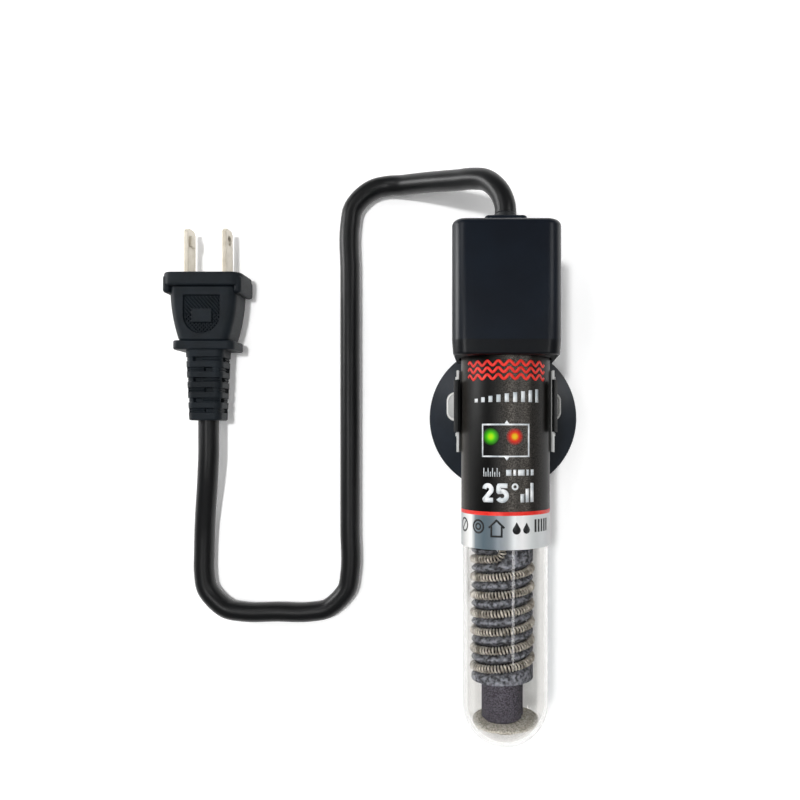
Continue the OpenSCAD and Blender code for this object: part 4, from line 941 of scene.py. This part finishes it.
def reliefGrid():
    low, high = p["tail"], p["collar"]
    edge = rounded([[1.8, low, 0], [0, low, 0.5], [0, low + 2, 0]])[:-1]
    line = np.concatenate([edge, plainRows(low + 0.7, high + 0.3, 210)])
    t = (line[:, 1] - low) / (high - low)
    halfW = (p["tailW"] + (p["reliefW"] - p["tailW"]) * t) / 2
    halfD = (p["tailD"] + (p["reliefD"] - p["tailD"]) * t) / 2
    grid = plugLoft(halfW, halfD, p["reliefCorner"], line, 14, (46, 40, 46, 40))
    halfW, halfD = (np.pad(half - line[:, 0], 1) for half in (halfW, halfD))
    x, z = grid[..., 0] - p["x"], grid[..., 2] - p["z"]
    r = np.maximum(np.hypot(x, z), 1e-6)
    overTop = np.abs(z) * halfW[:, None] > np.abs(x) * halfD[:, None]
    u = np.where(overTop, x * np.sign(z), -z * np.sign(x))
    depth = reliefDepth(u, grid[..., 1]) * (r > 3)
    grid[..., 0] -= np.where(overTop, x / r * 0.3, np.sign(x)) * depth
    grid[..., 2] -= np.where(overTop, np.sign(z), z / r * 0.3) * depth
    return grid


reliefSleeve = makePiece("reliefSleeve", reliefGrid(), plugPvc, (), 40)

# Brass, stamped and nickel plated: pale warm metal, drawn lines hardly seen
bladeNickel = skin("brassNickelPlated", "#c6bdac", "#ded7c9", cloudMm=6, grainMm=1.2,
    rough=(0.28, 0.36), bump=0.015, metallic=0.5)
bladeLeft, bladeRight = (softened(node, name, bladeNickel, p["bladeEdge"])
    for node, name in (("blade_left", "bladeLeft"), ("blade_right", "bladeRight")))
f = foldSettings = {"x": -5.45, "low": 57.2, "high": 60.9, "halfW": 0.5, "halfD": 1.7}
fold = plugBlock(f["halfW"], f["halfD"], 0.45, f["low"], f["high"], 0.45)
fold[..., 0] += f["x"]
bladeFold = makePiece("bladeFold", fold, bladeNickel)
print("plug moulded")

# Each inner finish: its nodes, then the values of skin in their order, from dark on
innerLooks = {
    "sealSilicone": ("seal_rings", "#16181b", "#202327", 4, (0.4, 0.5)),
    "stopperNeoprene": ("tube_stopper", "#242a31", "#2f363f", 4, (0.5, 0.6), 0.1),
    "leadInsulationPvc": ("supply_leads", "#7c2a25", "#96362f", 4, (0.35, 0.45)),
    "glassYarnSleeving": ("heater_leads", "#b9b4a2", "#d8d3c2", 2, (0.7, 0.85), 0.5),
    "epoxyGlassBoard": ("circuit_board", "#28523a", "#35694a", 5, (0.35, 0.5), 0.1, 0.4),
    "epoxyLensGreen": ("lamp_green", "#3fb032", "#57d547", 3, (0.1, 0.2), 0.02, 0.4),
    "epoxyLensRed": ("lamp_red", "#c22a22", "#e53f35", 3, (0.1, 0.2), 0.02, 0.4),
    "epoxyMouldedBlack": ("control_chip switching_triac", "#1c1c1e", "#28282b", 3, (0.5, 0.6), 0.1),
    "polyesterBoxAmber": ("dropper_capacitor", "#a87a1b", "#c08f28", 4, (0.3, 0.4)),
    "aluminiumCanSleevedBlue": ("smoothing_capacitor", "#22406f", "#2d4f87", 4, (0.3, 0.4)),
    "resistorLacquerTan": ("board_resistors", "#bb9b6c", "#d4b587", 2, (0.35, 0.5), 0.1),
    "beadLacquerBrown": ("thermistor", "#33251e", "#423028", 1, (0.3, 0.4), 0.1),
    "steelTinned": ("thermal_fuse", "#bdbdb9", "#d3d3cf", 3, (0.3, 0.4), 0.05, 0.3, 1.0),
    "steatiteShieldPressed": ("heat_shield", "#b3ac9a", "#d2cbb8", 3, (0.75, 0.9), 0.4, 0.4),
    "brassStamped": ("coil_terminals", "#b89c5c", "#d0b878", 3, (0.3, 0.45), 0.08, 0.3, 1.0),
    "polyamideCarrierGrey": ("plug_insert", "#5f6163", "#747678", 4, (0.45, 0.55), 0.08),
    "copperCrimped": ("plug_crimps", "#aa7c46", "#c6975c", 2, (0.3, 0.45), 0.1, 0.3, 1.0),
}
for finishName, (nodeNames, *look) in innerLooks.items():
    finish = skin(finishName, *look)
    for nodeName in nodeNames.split():
        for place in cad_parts[nodeName].material_slots:
            place.material = finish
print("inner parts finished")

stageSettings = {"floorHalf": 1500, "floorZ": -0.05, "sky": 0.17, "glow": (0.1, 0.34),
    "middle": (-35, -25), "glowMm": (105, 165)}
half, level = stageSettings["floorHalf"], stageSettings["floorZ"]
floorMesh = bpy.data.meshes.new("floor")
floorMesh.from_pydata([(x * mm, y * mm, level * mm) for x, y in
    ((-half, -half), (half, -half), (half, half), (-half, half))], [], [(0, 1, 2, 3)])
addObject("floor", floorMesh)

# Matt white paper, cut from a roll and swept under the object
paper = bpy.data.materials.new("paperSweepWhite")
paperTree = emptyTree(paper)
white = linear("#ffffff")
# White to rays from the lens, a mirror or glass
path = addNode(paperTree, "LightPath")
mirrorOrLens = addNode(paperTree, "Math MAXIMUM", {},
    {0: path.outputs["Is Camera Ray"], 1: path.outputs["Is Glossy Ray"]})
whiteRays = addNode(paperTree, "Math MAXIMUM", {},
    {0: mirrorOrLens, 1: path.outputs["Is Transmission Ray"]})
matt = addNode(paperTree, "BsdfDiffuse", {"Color": linear("#eaeaea")})
bright = addNode(paperTree, "BsdfDiffuse", {"Color": white})
# The paper is whitened away from the object, where the lamps reach it less
paperMiddle = [v * mm for v in (*stageSettings["middle"], level)]
fromMiddle = addNode(paperTree, "VectorMath DISTANCE", {1: paperMiddle},
    {0: addNode(paperTree, "TexCoord").outputs["Object"]})
near, far = stageSettings["glowMm"]
whitened = addNode(paperTree, "MapRange", {"From Min": near * mm, "From Max": far * mm,
    "To Min": stageSettings["glow"][0], "To Max": stageSettings["glow"][1]},
    {"Value": fromMiddle.outputs["Value"]})
shine = addNode(paperTree, "Emission", {"Color": white}, {"Strength": whitened})
lifted = addNode(paperTree, "AddShader", links={0: bright, 1: shine})
blend = addNode(paperTree, "MixShader", links={0: whiteRays, 1: matt, 2: lifted})
addNode(paperTree, "OutputMaterial", links={"Surface": blend})
floorMesh.materials.append(paper)

world = bpy.data.worlds.new("studio")
bpy.context.scene.world = world
skyTree = emptyTree(world)
skyPath = addNode(skyTree, "LightPath")
# White to the lens, and to rays that have met nothing but clear glass on their way from it
bounces = addNode(skyTree, "Math SUBTRACT", {},
    {0: skyPath.outputs["Ray Depth"], 1: skyPath.outputs["Transmission Depth"]})
onlyGlass = addNode(skyTree, "Math LESS_THAN", {1: 0.5}, {0: bounces})
throughGlass = addNode(skyTree, "Math MULTIPLY", {},
    {0: onlyGlass, 1: skyPath.outputs["Is Transmission Ray"]})
skySeen = addNode(skyTree, "Math MAXIMUM", {}, {0: skyPath.outputs["Is Camera Ray"], 1: throughGlass})
skyMix = addNode(skyTree, "MapRange", {"To Min": stageSettings["sky"], "To Max": 1.0},
    {"Value": skySeen})
backdrop = addNode(skyTree, "Background", {"Color": white}, {"Strength": skyMix})
addNode(skyTree, "OutputWorld", links={"Surface": backdrop})

# Place and aim in mm, width and height in mm, power in watts, and whether mirrors show the lamp
lampSettings = {
    "keyPanel": ((-165, 110, 1080), (0, 0, 0), (85, 85), 6.4, False),
    "sidePanel": ((-560, 170, 130), (0, 37, 36), (200, 240), 1.4, True),
    "leadPanel": ((-150, -10, 430), (-75, 0, 0), (190, 80), 0.3, True),
    "stripPanel": ((230, -80, 640), (0, -40, 30), (400, 80), 0.4, True),
    "cupPanelLeft": ((-330, 250, 430), (0, 0, 8), (150, 150), 0.22, True),
    "cupPanelRight": ((360, 200, 430), (0, 0, 8), (150, 150), 0.3, True),
}
for lampName, (place, target, size, power, mirrored) in lampSettings.items():
    panel = bpy.data.lights.new(lampName, "AREA")
    panel.shape = "RECTANGLE"
    panel.size, panel.size_y = (v * mm for v in size)
    panel.energy = power
    lamp = addObject(lampName, panel)
    lamp.visible_glossy = mirrored
    lamp.location = [v * mm for v in place]
    across, ahead, up = np.subtract(target, place)
    lamp.rotation_euler = (atan2(hypot(across, ahead), -up), 0, atan2(-across, ahead))
print("studio lit")
